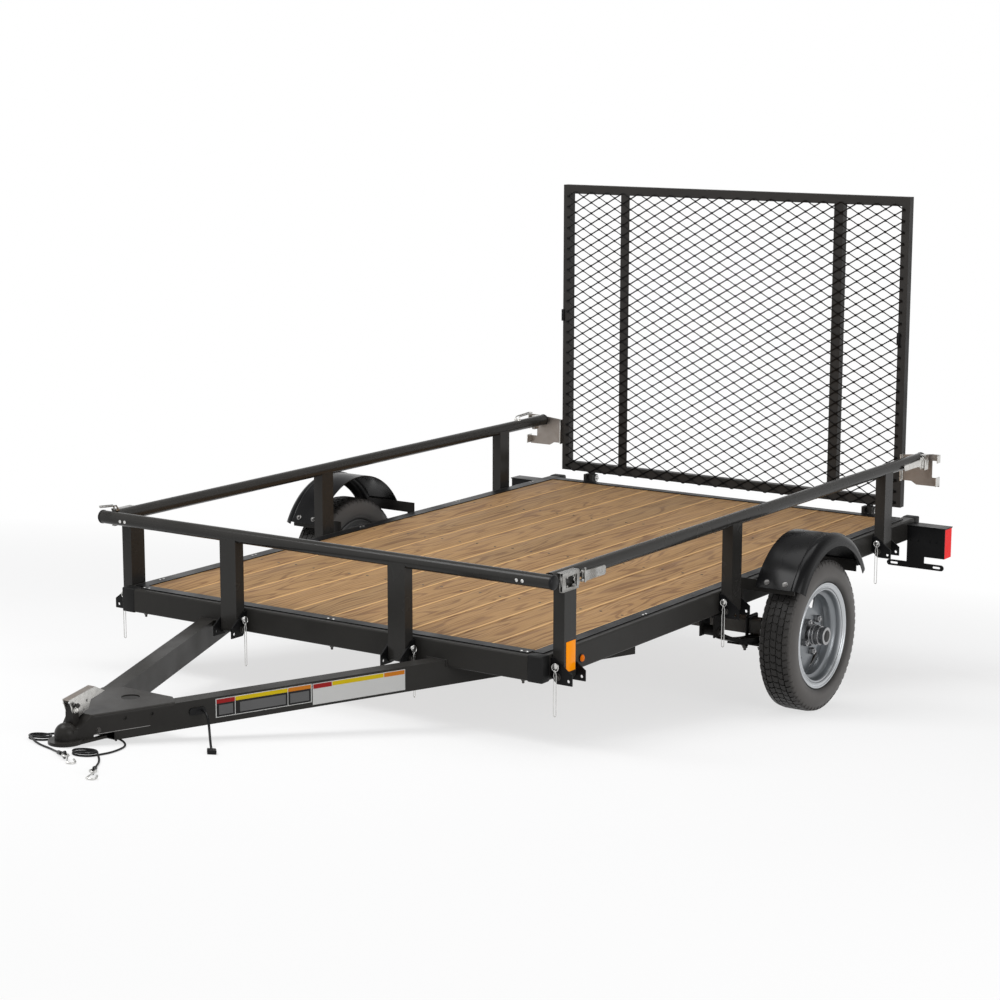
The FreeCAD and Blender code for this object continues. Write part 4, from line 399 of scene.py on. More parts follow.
@dataclass(frozen=True)
class Rubber:
    """Tyre rubber, with rings in the sidewall, road dust in its folds and a painted sheen on the sidewall."""

    name: str
    colour: Point
    dust: Point = (0.034, 0.032, 0.030)
    # The light grey below is a painted sheen on the sidewall.
    painted_sheen: Point = (0.155, 0.146, 0.138)
    ring_scale: float = 2400.0

    def make(self) -> bpy.types.Material:
        """Builds the rubber's material.

        Returns:
            The new material.
        """
        recipe = Recipe(self.name)
        centre = LEVEL @ at(WHEEL_AHEAD, WHEEL_ASIDE, WHEEL_UP)
        split = recipe.split(recipe.place)
        ahead = recipe.maths("SUBTRACT", split[0], centre.x)
        above = recipe.maths("SUBTRACT", split[2], centre.z)
        ahead, above = recipe.maths("MULTIPLY", ahead, ahead), recipe.maths("MULTIPLY", above, above)
        reach = recipe.maths("SQRT", recipe.maths("ADD", ahead, above))
        rings = recipe.maths("SINE", recipe.maths("MULTIPLY", reach, self.ring_scale))
        cloud = recipe.noise(22.0, 6.0)
        dust = recipe.ramp(cloud, [(0.42, 0.0), (0.75, 0.55)])
        body = recipe.mix(dust, tone(self.colour, 0.85), tone(self.dust))
        # Painted sheen: lighter across the sidewall by distance from the axle, fading out at the tread and
        # the bead.
        painted_sheen = recipe.ramp(reach, [(0.176, 0.15), (0.20, 1.0), (0.238, 0.8), (0.256, 0.0)])
        body = recipe.mix(painted_sheen, body, tone(self.painted_sheen))
        rough = recipe.ramp(cloud, [(0.3, 0.40), (0.75, 0.52)])
        fine = recipe.bump(recipe.noise(900.0, 3.0), 0.12, 0.0004)
        ringed = recipe.bump(rings, 0.05, 0.0003, Normal=fine)
        return recipe.feed(Base_Color=body, Roughness=rough, Normal=ringed, Specular_IOR_Level=0.25)


@dataclass(frozen=True)
class Pine:
    """Planed pine boards, each with its own grain, knots and tone."""

    name: str
    pitch: float
    first: float
    pale: Point = (0.40, 0.235, 0.094)
    dark: Point = (0.145, 0.066, 0.024)
    # The pale colour below is a painted highlight along each board's edges.
    edge: Point = (0.74, 0.45, 0.19)
    warm: Point = (0.50, 0.30, 0.135)
    knot: Point = (0.13, 0.050, 0.018)
    board_shift: float = 40.0
    sway: float = 0.10
    growth: float = 105.0
    fibre_scale: float = 330.0
    knot_scale: float = 6.4

    def make(self) -> bpy.types.Material:
        """Builds the timber's material.

        Returns:
            The new material.
        """
        recipe = Recipe(self.name)
        turned = recipe.add("ShaderNodeVectorRotate", Vector=recipe.place, Angle=-PITCH)
        turned.rotation_type = "Y_AXIS"
        split = recipe.split(turned.outputs[0])
        across = recipe.maths("DIVIDE", recipe.maths("SUBTRACT", split[1], self.first), self.pitch)
        seed = recipe.add("ShaderNodeTexWhiteNoise", i1=recipe.maths("FLOOR", across))
        seed.noise_dimensions = "1D"
        chance = seed.outputs[0]
        shifted = recipe.maths("ADD", split[0], recipe.maths("MULTIPLY", chance, self.board_shift))
        place = recipe.add("ShaderNodeCombineXYZ", X=shifted, Y=split[1], Z=split[2]).outputs[0]
        sway = recipe.maths("MULTIPLY", recipe.noise(3.2, 3.0, (0.5, 2.6, 2.6), place), self.sway)
        push = recipe.add("ShaderNodeCombineXYZ", Y=sway).outputs[0]
        grain = recipe.add("ShaderNodeVectorMath", i0=place, i1=push).outputs[0]
        growth = recipe.noise(1.0, 2.0, (0.9, 9.0, 1.0), grain)
        rings = recipe.maths("SINE", recipe.maths("MULTIPLY", growth, self.growth))
        bands = recipe.ramp(rings, [(0.05, 0.0), (0.5, 0.35), (0.88, 1.0)])
        fibre = recipe.noise(self.fibre_scale, 4.0, (0.022, 1.0, 1.0), grain)
        streak = recipe.ramp(fibre, [(0.36, 0.0), (0.64, 1.0)])
        cloud = recipe.noise(7.0, 4.0, (0.3, 1.0, 1.0), place)
        wood = recipe.mix(recipe.maths("MULTIPLY", bands, 0.72), tone(self.pale, 1.04), tone(self.dark, 1.15))
        wood = recipe.mix(recipe.maths("MULTIPLY", streak, 0.34), wood, tone(self.dark))
        wood = recipe.mix(recipe.ramp(cloud, [(0.40, 0.0), (0.75, 0.3)]), wood, tone(self.warm))
        plan = recipe.add("ShaderNodeMapping", Vector=grain, Scale=(0.40, 1.0, 0.0)).outputs[0]
        knots = recipe.add("ShaderNodeTexVoronoi", Scale=self.knot_scale, Randomness=1.0, Vector=plan)
        spot = recipe.ramp(knots.outputs["Distance"], [(0.0, 1.0), (0.04, 0.8), (0.09, 0.2), (0.17, 0.0)])
        wood = recipe.mix(recipe.maths("MULTIPLY", spot, 0.75), wood, tone(self.knot))
        light = recipe.ramp(chance, [(0.0, (0.86, 0.87, 0.88)), (0.5, (1.0, 0.98, 0.96)),
                                     (1.0, (1.10, 1.06, 1.0))])
        wood = recipe.mix(1.0, wood, light, "MULTIPLY")
        # Painted highlight: a pale line along each board's edges, where the eased edges catch the light.
        near = recipe.maths("ABSOLUTE", recipe.maths("SUBTRACT", recipe.maths("FRACT", across), 0.5))
        painted_board_edge_highlight = recipe.ramp(near, [(0.466, 0.0), (0.482, 0.85)])
        wood = recipe.mix(painted_board_edge_highlight, wood, tone(self.edge))
        rough = recipe.ramp(fibre, [(0.3, 0.55), (0.7, 0.75)])
        grooves = recipe.bump(fibre, 0.22, 0.0009)
        return recipe.feed(Base_Color=wood, Roughness=rough, Normal=grooves)


@dataclass(frozen=True)
class Lens:
    """A coloured lamp lens with fine ribs inside a clear face."""

    name: str
    colour: Point
    glow: float = 0.0
    rib_scale: float = 1100.0

    def make(self) -> bpy.types.Material:
        """Builds the lens's material.

        Returns:
            The new material.
        """
        recipe = Recipe(self.name)
        aside = recipe.split(recipe.place)[1]
        ribs = recipe.maths("SINE", recipe.maths("MULTIPLY", aside, self.rib_scale))
        cloud = recipe.noise(40.0, 3.0)
        body = recipe.mix(cloud, tone(self.colour, 0.85), tone(self.colour, 1.2))
        rough = recipe.ramp(cloud, [(0.3, 0.14), (0.7, 0.24)])
        ribbed = recipe.bump(ribs, 0.25, 0.0004)
        recipe.feed(Base_Color=body, Roughness=rough, Normal=ribbed, Specular_IOR_Level=0.08)
        return recipe.feed(Emission_Color=tone(self.colour), Emission_Strength=self.glow)


CHARCOAL = Enamel("charcoal_enamel", (0.034, 0.0325, 0.030), 0.38)
RAIL_CHARCOAL = Enamel("rail_enamel", (0.037, 0.0355, 0.033), 0.24, 0.05, 0.12, 0.12)
GATE_CHARCOAL = Enamel("gate_enamel", (0.040, 0.038, 0.036), 0.42)
BLACK = Enamel("black_enamel", (0.0085, 0.0085, 0.009), 0.36)
COUPLER_BLACK = Enamel("coupler_enamel", (0.033, 0.031, 0.0285), 0.34, 0.12, 0.2, 0.02)
STRIP_BLACK = Enamel("strip_enamel", (0.0065, 0.0065, 0.007), 0.38, shine=0.2)
MESH_BLACK = Enamel("mesh_enamel", (0.009, 0.009, 0.0095), 0.4, shine=0.2)
SPRING_BLACK = Enamel("spring_paint", (0.011, 0.0105, 0.010), 0.45)
FENDER_BLACK = Enamel("fender_enamel", (0.0075, 0.0075, 0.008), 0.28, 0.04, 0.06, 0.06)
AXLE_GREY = Enamel("axle_primer", (0.22, 0.215, 0.205), 0.5)
PLASTIC = Moulded("black_plastic", (0.0065, 0.0065, 0.007), 0.40)
GRAINED = Moulded("grained_plastic", (0.0075, 0.0075, 0.0075), 0.5, 0.4)
ZINC = Plated("zinc_plate", (0.62, 0.615, 0.60), 0.28)
BRIGHT_STEEL = Plated("bright_steel", (0.62, 0.61, 0.585), 0.27, 0.3)
HUB_STEEL = Plated("hub_steel", (0.36, 0.36, 0.365), 0.28, 0.2)
BARE_STEEL = Plated("bare_steel", (0.325, 0.29, 0.262), 0.46, 0.12, (0.24, 0.195, 0.16), 0.3)
LATCH_STEEL = Plated("latch_steel", (0.40, 0.395, 0.38), 0.26, 0.4, (0.12, 0.105, 0.09), 0.55)
# A bright steel for the thin rods that stand for the highlight on the coupler flange's rounded edge: painted
# highlight.
EDGE_HIGHLIGHT_STEEL = Plated("painted_edge_highlight", (0.20, 0.195, 0.19), 0.35, 0.2)
DARK_STEEL = Plated("dark_steel", (0.07, 0.067, 0.064), 0.4, 0.2)
DULL_BOLT = Plated("dull_bolt", (0.24, 0.235, 0.23), 0.36, 0.25)
# The second colour is a painted highlight on the wheel's outer flange.
WHEEL_SILVER = Silver("wheel_silver", (0.235, 0.25, 0.265), (0.58, 0.60, 0.62))
RED_LENS = Lens("red_lens", (0.82, 0.0015, 0.003), 0.5)
AMBER_LENS = Lens("amber_lens", (0.9, 0.19, 0.003), 0.15)
JACKET = Moulded("cable_jacket", (0.008, 0.008, 0.0085), 0.36, 0.3)
# The reflector's glow is painted light; a reflector gives none of its own.
AMBER_REFLECTOR = Lens("amber_reflector", (0.95, 0.28, 0.003), 0.4)
TYRE_RUBBER = Rubber("tyre_rubber", (0.017, 0.0165, 0.016))
DECK_PINE = Pine("deck_pine", 0.15008, -0.757)


@cache
def finish(kind: object) -> bpy.types.Material:
    """Gives the material of a finish, built once."""
    return kind.make()


def blank(name: str, colour: Point, spread: float = 0.05) -> Enamel:
    """Gives the smooth paint of one part of a blank label."""
    return Enamel(f"blank_{name}", colour, 0.35, 0.02, spread)


class Stock:
    """Solids gathered in the level frame, in millimetres, that become one piece."""

    WIRE_SIDES = 8

    def __init__(self) -> None:
        """Starts with nothing."""
        self.mesh = bmesh.new()

    def facet(self, points: Iterable[Point], faces: Iterable[Sequence[int]] = ()) -> list[bmesh.types.BMVert]:
        """Adds points and the faces between them.

        Args:
            points: The points.
            faces: The places in points of each face's corners.

        Returns:
            The new points.
        """
        made = [self.mesh.verts.new(point) for point in points]
        for face in faces:
            self.mesh.faces.new([made[index] for index in face])
        return made

    def skin(self, rings: Rings, looped: bool = False) -> None:
        """Joins rings of points by faces.

        Args:
            rings: The rings, all with as many points.
            looped: Whether the last ring meets the first, otherwise both ends are closed.
        """
        count = len(rings[0])
        for low, high in zip(rings, [*rings[1:], rings[0]] if looped else rings[1:]):
            for step in range(count):
                after = (step + 1) % count
                self.mesh.faces.new((low[step], low[after], high[after], high[step]))
        if not looped:
            self.mesh.faces.new(list(reversed(rings[0])))
            self.mesh.faces.new(rings[-1])

    def block(self, low: Point, high: Point) -> None:
        """Adds a box between two corners.

        Args:
            low: The lowest corner.
            high: The highest corner.
        """
        points = [(x, y, z) for z in (low[2], high[2])
                  for x, y in ((low[0], low[1]), (high[0], low[1]), (high[0], high[1]), (low[0], high[1]))]
        faces = [(3, 2, 1, 0), (4, 5, 6, 7), (0, 1, 5, 4), (1, 2, 6, 5), (2, 3, 7, 6), (3, 0, 4, 7)]
        self.facet(points, faces)

    def side_block(self, sign: int, low: Point, high: Point) -> None:
        """Adds a box given as for the left side."""
        near, far = sorted((sign * low[1], sign * high[1]))
        self.block((low[0], near, low[2]), (high[0], far, high[2]))

    def prism(self, outlines: Sequence[Sequence[Point]], plane: Plane, start: float, length: float) -> None:
        """Adds a plate with holes.

        Args:
            outlines: The outer outline, then one outline for each hole.
            plane: The plane that they are drawn in.
            start: Where the plate starts along the third axis.
            length: How far it grows.
        """
        flat = [point for outline in outlines for point in outline]
        first, second, third = plane.value
        points = []
        for depth in (start, start + length):
            for point in flat:
                corner = Vector((0, 0, 0))
                corner[first], corner[second], corner[third] = point[0], point[1], depth
                points.append(corner)
        count = len(flat)
        triangles = tessellate_polygon([[Vector((p[0], p[1], 0)) for p in outline] for outline in outlines])
        faces = [tuple(triangle) for triangle in triangles]
        faces += [tuple(index + count for index in reversed(triangle)) for triangle in triangles]
        begin = 0
        for size in map(len, outlines):
            for step in range(size):
                a, b = begin + step, begin + (step + 1) % size
                faces.append((a, b, b + count, a + count))
            begin += size
        self.facet(points, faces)

    def rod(self, start: Point, end: Point, radius: float, sides: int) -> None:
        """Adds a closed cylinder between two points."""
        self.lathe([(0.0, radius), (1.0, radius)], start, end, sides)

    def lathe(self, profile: Sequence[Flat], start: Point, end: Point, sides: int) -> None:
        """Adds a turned solid whose ends are closed.

        Args:
            profile: Share of the way from start to end, and radius, in order.
            start: The axis at share 0.
            end: The axis at share 1.
            sides: How many sides it has.
        """
        start, end = Vector(start), Vector(end)
        way = (end - start).normalized()
        across = way.orthogonal().normalized()
        self.skin([self.circle(start.lerp(end, share), way, across, radius, sides)
                   for share, radius in profile])

    def circle(self, middle: Vector, way: Vector, across: Vector, radius: float,
               sides: int) -> list[bmesh.types.BMVert]:
        """Adds the points of a circle.

        Args:
            middle: Its middle.
            way: Its axis.
            across: The way to its first point.
            radius: Its radius.
            sides: How many points it has.

        Returns:
            The new points.
        """
        other = way.cross(across)
        turns = [math.tau * step / sides for step in range(sides)]
        return self.facet(middle + (across * math.cos(turn) + other * math.sin(turn)) * radius
                          for turn in turns)

    def ring(self, section: Sequence[Flat], centre: Point, way: Point, sides: int, begin: float = 0.0,
             sweep: float = math.tau) -> None:
        """Adds a section swept round an axis, closed or open at two ends.

        Args:
            section: Place along the axis and radius of each corner, in order round the section.
            centre: A point on the axis.
            way: The axis.
            sides: Steps of the sweep.
            begin: The first angle from straight up, in radians, towards the front.
            sweep: How far it turns.
        """
        whole = sweep == math.tau
        rows = []
        for step in range(sides if whole else sides + 1):
            out = round_axle(begin + sweep * step / sides)
            rows.append(self.facet(centre + way * along + out * radius for along, radius in section))
        self.skin(rows, whole)

    def wire(self, points: Sequence[Point], radius: float, closed: bool = False) -> None:
        """Adds round wire along points.

        Args:
            points: The wire's middle line.
            radius: The wire's radius.
            closed: Whether its end meets its start.
        """
        count = len(points)
        across = None
        rings = []
        for index, point in enumerate(points):
            if closed:
                way = points[(index + 1) % count] - points[index - 1]
            else:
                way = points[min(index + 1, count - 1)] - points[max(index - 1, 0)]
            way.normalize()
            across = way.orthogonal() if across is None else across - way * across.dot(way)
            across.normalize()
            rings.append(self.circle(point, way, across, radius, self.WIRE_SIDES))
        self.skin(rings, closed)

    def hexagon(self, start: Vector, way: Vector, across: float, height: float) -> None:
        """Adds a bolt head or nut with a rounded top.

        Args:
            start: The middle of the face that bears.
            way: The way it stands, one long.
            across: Its size across the flats.
            height: Its height.
        """
        corner = across / math.sqrt(3)
        self.lathe([(0.0, corner), (0.78, corner), (1.0, corner * 0.84)], start, start + way * height, 6)

    def bolt(self, start: Vector, way: Vector, size: float, end: float = 0.0) -> None:
        """Adds a bolt head on a washer, with a threaded end where it shows.

        Args:
            start: The middle of the face that it bears on.
            way: The way it stands out, one long.
            size: The bolt's diameter.
            end: How far a threaded end stands out of a nut.
        """
        washer, head, rim = size * 0.2, size * 0.72, size * 1.12
        self.lathe([(0.0, rim), (0.8, rim), (1.0, size * 1.02)], start, start + way * washer, 24)
        self.hexagon(start + way * washer, way, size * 1.62, head)
        if end:
            top = start + way * (washer + head)
            self.lathe([(0.0, size / 2), (0.85, size / 2), (1.0, size * 0.36)], top, top + way * end, 16)

    def dome_screw(self, start: Vector, way: Vector, radius: float) -> None:
        """Adds a low round head."""
        profile = [(0.0, radius), (0.35, radius * 0.97), (0.75, radius * 0.66), (1.0, radius * 0.28)]
        self.lathe(profile, start, start + way * radius * 0.55, 16)

    def weld(self, begin: Vector, end: Vector, radius: float, seed: int) -> None:
        """Adds a straight weld bead with its ripples.

        Args:
            begin: The seam's start.
            end: The seam's end.
            radius: The bead's radius.
            seed: The seed of its unevenness.
        """
        chance = random.Random(seed)
        steps = max(2, int((end - begin).length / (radius * 0.9)))
        way = (end - begin).normalized()
        profile = []
        for step in range(steps + 1):
            swell = 1.0 + (0.16 if step % 2 else -0.1) + chance.uniform(-0.08, 0.08)
            profile.append((step / steps, radius * swell))
        self.lathe(profile, begin - way * radius * 0.3, end + way * radius * 0.3, 8)

    def piece(self, name: str, body: Body, slot: str, look: object, crease: float, bevel: float = 0.0,
              steps: int = 2) -> bpy.types.Object:
        """Turns what was gathered into one piece that rides on a body.

        Args:
            name: The piece's name.
            body: The body it rides on.
            slot: The record's material slot; not used.
            look: Its finish.
            crease: The angle from which an edge stays sharp, in degrees.
            bevel: How far sharp edges are rounded.
            steps: Steps of a rounded edge.

        Returns:
            The new object.
        """
        bmesh.ops.recalc_face_normals(self.mesh, faces=self.mesh.faces)
        if bevel:
            sharp = [edge for edge in self.mesh.edges
                     if edge.is_manifold and edge.calc_face_angle(0.0) > math.radians(crease)]
            bmesh.ops.bevel(self.mesh, geom=sharp, offset=bevel, segments=steps, profile=0.5, affect="EDGES",
                            clamp_overlap=True)
        self.mesh.transform(LEVEL)
        data = bpy.data.meshes.new(name)
        self.mesh.to_mesh(data)
        self.mesh.free()
        data.polygons.foreach_set("use_smooth", [True] * len(data.polygons))
        data.set_sharp_from_angle(angle=math.radians(crease))
        made = place_object(name, data)
        data.materials.append(finish(look))
        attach(made, body.value)
        LOG.info("%s: %d faces", name, len(data.polygons))
        return made


def arc(centre: Flat, radius: float, begin: float, end: float, steps: int) -> list[Flat]:
    """Gives points of an arc in a plane, angles in degrees from the first axis."""
    turns = [math.radians(begin + (end - begin) * step / steps) for step in range(steps + 1)]
    return [(centre[0] + radius * math.cos(turn), centre[1] + radius * math.sin(turn)) for turn in turns]


def hole(centre: Flat, radius: float, sides: int) -> list[Flat]:
    """Gives a round hole's outline."""
    return arc(centre, radius, 0.0, 360.0 - 360.0 / sides, sides - 1)


def slot_outline(centre: Flat, length: float, height: float, steps: int) -> list[Flat]:
    """Gives the outline of a level slot with round ends.

    Args:
        centre: The slot's middle.
        length: Its length, ends included.
        height: Its height.
        steps: Steps of each round end.

    Returns:
        The outline's points.
    """
    half = (length - height) / 2
    front = arc((centre[0] + half, centre[1]), height / 2, -90.0, 90.0, steps)
    return front + arc((centre[0] - half, centre[1]), height / 2, 90.0, 270.0, steps)


@dataclass
class Studio:
    """The photograph's camera, a soft white studio and its floor."""

    place: Point = (8001.238, 4400.028, 1687.287)
    right: Point = (-0.56089089, 0.82788802, 0.00168057)
    down: Point = (0.15088397, 0.10421882, -0.98304245)
    ahead: Point = (-0.81402422, -0.55112599, -0.18337041)
    focal: float = 2367.97
    sky: float = 0.30
    key: float = 165.0
    fill: float = 75.0
    top: float = 75.0
    zenith: float = 0.3
    lift: float = 0.68
    bounce: float = 0.42
    sink: float = -0.0004
    fade: Flat = (2.2, 5.0)

    def camera(self) -> None:
        """Places the camera as the photograph's stood to the trailer."""
        data = bpy.data.cameras.new("photograph")
        data.sensor_width = 36.0
        data.lens = self.focal * 36.0 / 1000.0
        data.clip_start, data.clip_end = 0.1, 200.0
        made = place_object("photograph", data)
        axes = Matrix((self.right, [-value for value in self.down], [-value for value in self.ahead]))
        turn = REST.to_3x3() @ axes.transposed()
        made.matrix_world = Matrix.Translation(LEVEL @ Vector(self.place)) @ turn.to_4x4()
        bpy.context.scene.camera = made

    def lamp(self, name: str, place: Point, aim: Point, size: tuple[float, float], power: float) -> None:
        """Adds a soft rectangular lamp in the level frame.

        Args:
            name: The lamp's name.
            place: Where it hangs, in millimetres.
            aim: The point it faces.
            size: Its width and height in metres.
            power: Its power in watts.
        """
        data = bpy.data.lights.new(name, "AREA")
        data.shape = "RECTANGLE"
        data.size, data.size_y = size
        data.energy = power
        made = place_object(name, data)
        start, end = LEVEL @ Vector(place), LEVEL @ Vector(aim)
        made.location = start
        made.rotation_mode = "QUATERNION"
        made.rotation_quaternion = (end - start).to_track_quat("-Z", "Y")

    @staticmethod
    def seen(tree: Tree) -> bpy.types.NodeSocket:
        """Gives 1 where a ray comes from the camera, a reflection or a clear piece, otherwise 0.

        Args:
            tree: The node tree that asks.

        Returns:
            The socket of the answer.
        """
        path = tree.add("ShaderNodeLightPath").outputs
        total = tree.maths("MAXIMUM", path["Is Camera Ray"], path["Is Glossy Ray"])
        return tree.maths("MAXIMUM", total, path["Is Transmission Ray"])

    def world(self) -> None:
        """Builds a studio sky that is white at the horizon and grey where it lights."""
        world = bpy.data.worlds.new("studio")
        bpy.context.scene.world = world
        world.use_nodes = True
        tree = Tree(world.node_tree)
        height = tree.split(tree.add("ShaderNodeTexCoord").outputs["Generated"])[2]
        fade = tree.ramp(height, [(0.30, 1.0), (0.72, self.zenith)])
        plain = tree.add("ShaderNodeBackground", Color=(0.98, 0.98, 1.0, 1.0), Strength=self.sky)
        white = tree.add("ShaderNodeBackground", Color=fade)
        mix = tree.add("ShaderNodeMixShader", i0=self.seen(tree), i1=plain.outputs[0], i2=white.outputs[0])
        tree.add("ShaderNodeOutputWorld", Surface=mix.outputs[0])

    def floor(self) -> None:
        """Lays a pale floor that keeps the trailer's shadow and fades to white away from it."""
        mesh = bmesh.new()
        bmesh.ops.create_grid(mesh, x_segments=8, y_segments=8, size=40.0)
        data = bpy.data.meshes.new("floor")
        mesh.to_mesh(data)
        mesh.free()
        made = place_object("floor", data)
        made.location = (0.0, 0.0, self.sink)
        material = bpy.data.materials.new("pale_floor")
        material.use_nodes = True
        tree = Tree(material.node_tree)
        seen = self.seen(tree)
        reach = tree.add("ShaderNodeVectorMath", i0=tree.add("ShaderNodeTexCoord").outputs["Object"])
        reach.operation = "LENGTH"
        fade = tree.add("ShaderNodeMapRange", Value=reach.outputs["Value"], From_Min=self.fade[0],
                        From_Max=self.fade[1], To_Min=self.lift, To_Max=1.0)
        tint = tree.mix(seen, (self.bounce, self.bounce, self.bounce, 1.0), (0.93, 0.93, 0.93, 1.0))
        diffuse = tree.add("ShaderNodeBsdfDiffuse", Color=tint)
        white = tree.add("ShaderNodeEmission", Strength=1.0)
        share = tree.maths("MULTIPLY", fade.outputs[0], seen)
        mix = tree.add("ShaderNodeMixShader", i0=share, i1=diffuse.outputs[0], i2=white.outputs[0])
        tree.add("ShaderNodeOutputMaterial", Surface=mix.outputs[0])
        data.materials.append(material)

    def build(self) -> None:
        """Sets up the whole studio."""
        self.camera()
        self.world()
        self.floor()
        self.lamp("key", (4200, -1500, 4600), (1300, 0, 0), (3.4, 2.4), self.key)
        self.lamp("fill", (3600, 5200, 1800), (1400, 0, 200), (4.0, 2.6), self.fill)
        self.lamp("top", (600, 200, 4800), (1000, 0, 0), (3.6, 2.6), self.top)
        bpy.context.scene.view_settings.view_transform = "Standard"


@dataclass
class Cords:
    """The trailer's wire and its two coiled safety cables, as they lie on the floor."""

    wire: Sequence[Point] = ((1450.54, 172.03, 84.86), (1462.06, 199.69, 83.39), (1470.54, 216.03, 50.0),
                             (1490.54, 240.03, 18.0), (1518.54, 268.03, 5.8), (1544.54, 292.03, 5.8))
    left_in: Sequence[Point] = ((1645.84, 11.0, 8.62), (1645.84, 41.0, 8.62), (1659.84, 82.0, 4.5),
                                (1693.84, 118.0, 3.2), (1740.84, 140.0, 3.0), (1795.84, 156.0, 3.0),
                                (1835.84, 157.0, 3.0))
    left_out: Sequence[Point] = ((1853.82, 165.73, 9.6), (1879.72, 196.63, 5.0), (1912.72, 227.63, 3.4),
                                 (1952.72, 256.63, 3.4), (1982.72, 280.63, 6.5))
    right_in: Sequence[Point] = ((1645.84, -11.0, 8.62), (1645.84, -41.0, 8.62), (1659.84, -80.0, 4.6),
                                 (1690.84, -108.0, 3.2), (1731.84, -122.0, 3.0), (1775.84, -127.0, 3.0))
    right_out: Sequence[Point] = ((1838.06, -90.2, 9.4), (1857.06, -58.0, 5.2), (1872.06, -18.0, 3.4),
                                  (1884.06, 24.0, 3.4), (1898.06, 56.0, 3.6), (1914.06, 83.7, 6.4))
    coil_radius: float = 32.0
    low: float = 3.0
    high: float = 9.6
    turn_points: int = 14
    climb_length: float = 0.32
    unwind_from: float = 1.3

    def coil(self, centre: Flat, begin: float, turns: float, way: int, pull: float) -> list[Point]:
        """Gives the points of a coil that climbs onto its own first turn.

        Args:
            centre: The coil's middle.
            begin: The first angle in degrees.
            turns: How many turns it has.
            way: 1 for anticlockwise from above, otherwise -1.
            pull: How much smaller the first turn gets before it climbs.

        Returns:
            The points, in millimetres of the row frame.
        """
        found = []
        count = int(self.turn_points * turns)
        for step in range(count + 1):
            turn = turns * step / count
            climb = min(1.0, max(0.0, (turn - (0.98 if pull else 0.6)) / self.climb_length))
            climb = climb * climb * (3.0 - 2.0 * climb)
            wind = min(turn, 1.0)
            if turn >= self.unwind_from:
                wind = max(0.0, 1.0 - (turn - self.unwind_from) / (turns - self.unwind_from))
            radius = self.coil_radius - pull * wind
            angle = math.radians(begin + way * 360.0 * turn)
            found.append((centre[0] + radius * math.cos(angle), centre[1] + radius * math.sin(angle),
                          self.low + (self.high - self.low) * climb))
        return found

    def lay(self, name: str, points: Sequence[Point], diameter: float, look: object) -> bpy.types.Object:
        """Lays one cord as a smooth spline.

        Args:
            name: The cord's name.
            points: Its control points in millimetres of the row frame.
            diameter: Its diameter in millimetres.
            look: Its finish.

        Returns:
            The new curve object.
        """
        data = bpy.data.curves.new(name, "CURVE")
        data.dimensions = "3D"
        data.bevel_depth = diameter / 2000.0
        data.bevel_resolution = 4
        data.resolution_u = 5
        data.use_fill_caps = True
        spline = data.splines.new("NURBS")
        spline.points.add(len(points) - 1)
        for place, point in zip(spline.points, points):
            place.co = (*(value / 1000.0 for value in point), 1.0)
        spline.order_u = 3
        spline.use_endpoint_u = True
        data.materials.append(finish(look))
        made = place_object(name, data)
        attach(made, Body.CHASSIS.value)
        return made

    def build(self) -> None:
        """Lays the wire and both cables."""
        wire = self.lay("trailer_wire", self.wire, 7.0, JACKET)
        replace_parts(wire, "wiring_cord")
        left = [*self.left_in, *self.coil((1858.34, 125.0), 90.0, 1.875, -1, 0.0), *self.left_out]
        right = [*self.right_in, *self.coil((1798.34, -95.0), -90.0, 2.167, 1, 6.4), *self.right_out]
        for side, points, length in (("left", left, 0.865), ("right", right, 0.83)):
            cable = self.lay(f"cable_{side}", points, 6.0, JACKET)
            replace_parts(cable, f"safety_cable_{side}", "cable_coils")
        LOG.info("cords: 3")


class CadDress:
    """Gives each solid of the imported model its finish."""

    LOOKS: dict[str, object] = {
        "side_tube": CHARCOAL, "end_caps": PLASTIC, "front_member": CHARCOAL, "rear_member": CHARCOAL,
        "cross_members": CHARCOAL, "tongue_tube": CHARCOAL, "coupler_plate": COUPLER_BLACK,
        "coupler_head": COUPLER_BLACK, "coupler_latch": LATCH_STEEL, "deck_boards": DECK_PINE,
        "hold_down_strips": STRIP_BLACK, "axle": AXLE_GREY, "leaf_spring": SPRING_BLACK,
        "spring_hangers": SPRING_BLACK, "axle_clamps": SPRING_BLACK, "fender": FENDER_BLACK,
        "fender_arms": CHARCOAL, "rail_brackets": BLACK, "lock_pins": ZINC, "lamp_plates": BLACK,
        "tail_lamp_housings": PLASTIC, "tail_lamp_lenses": RED_LENS, "side_markers": AMBER_LENS,
        "gate_hinge_lugs": CHARCOAL, "tyre": TYRE_RUBBER, "wheel_rim": WHEEL_SILVER, "wheel_hub": HUB_STEEL,
        "gate_frame": GATE_CHARCOAL, "gate_uprights": GATE_CHARCOAL, "gate_mesh": GATE_CHARCOAL,
        "gate_catches": BARE_STEEL, "side_rail": RAIL_CHARCOAL, "front_rail": RAIL_CHARCOAL,
        "toggle_latches": ZINC, "wiring_grommet": PLASTIC, "wiring_cord": JACKET, "wiring_plug": PLASTIC,
        "cable_anchor": ZINC, "safety_cable": JACKET, "cable_coils": JACKET, "cable_ferrules": JACKET,
        "cable_hooks": ZINC,
    }

    def build(self) -> None:
        """Assigns a material to every node's object, with one look for a left and a right piece."""
        for name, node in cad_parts.items():
            look = self.LOOKS[name.removesuffix("_left").removesuffix("_right")]
            node.data.materials.clear()
            node.data.materials.append(finish(look))
        LOG.info("solids: %d", len(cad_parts))


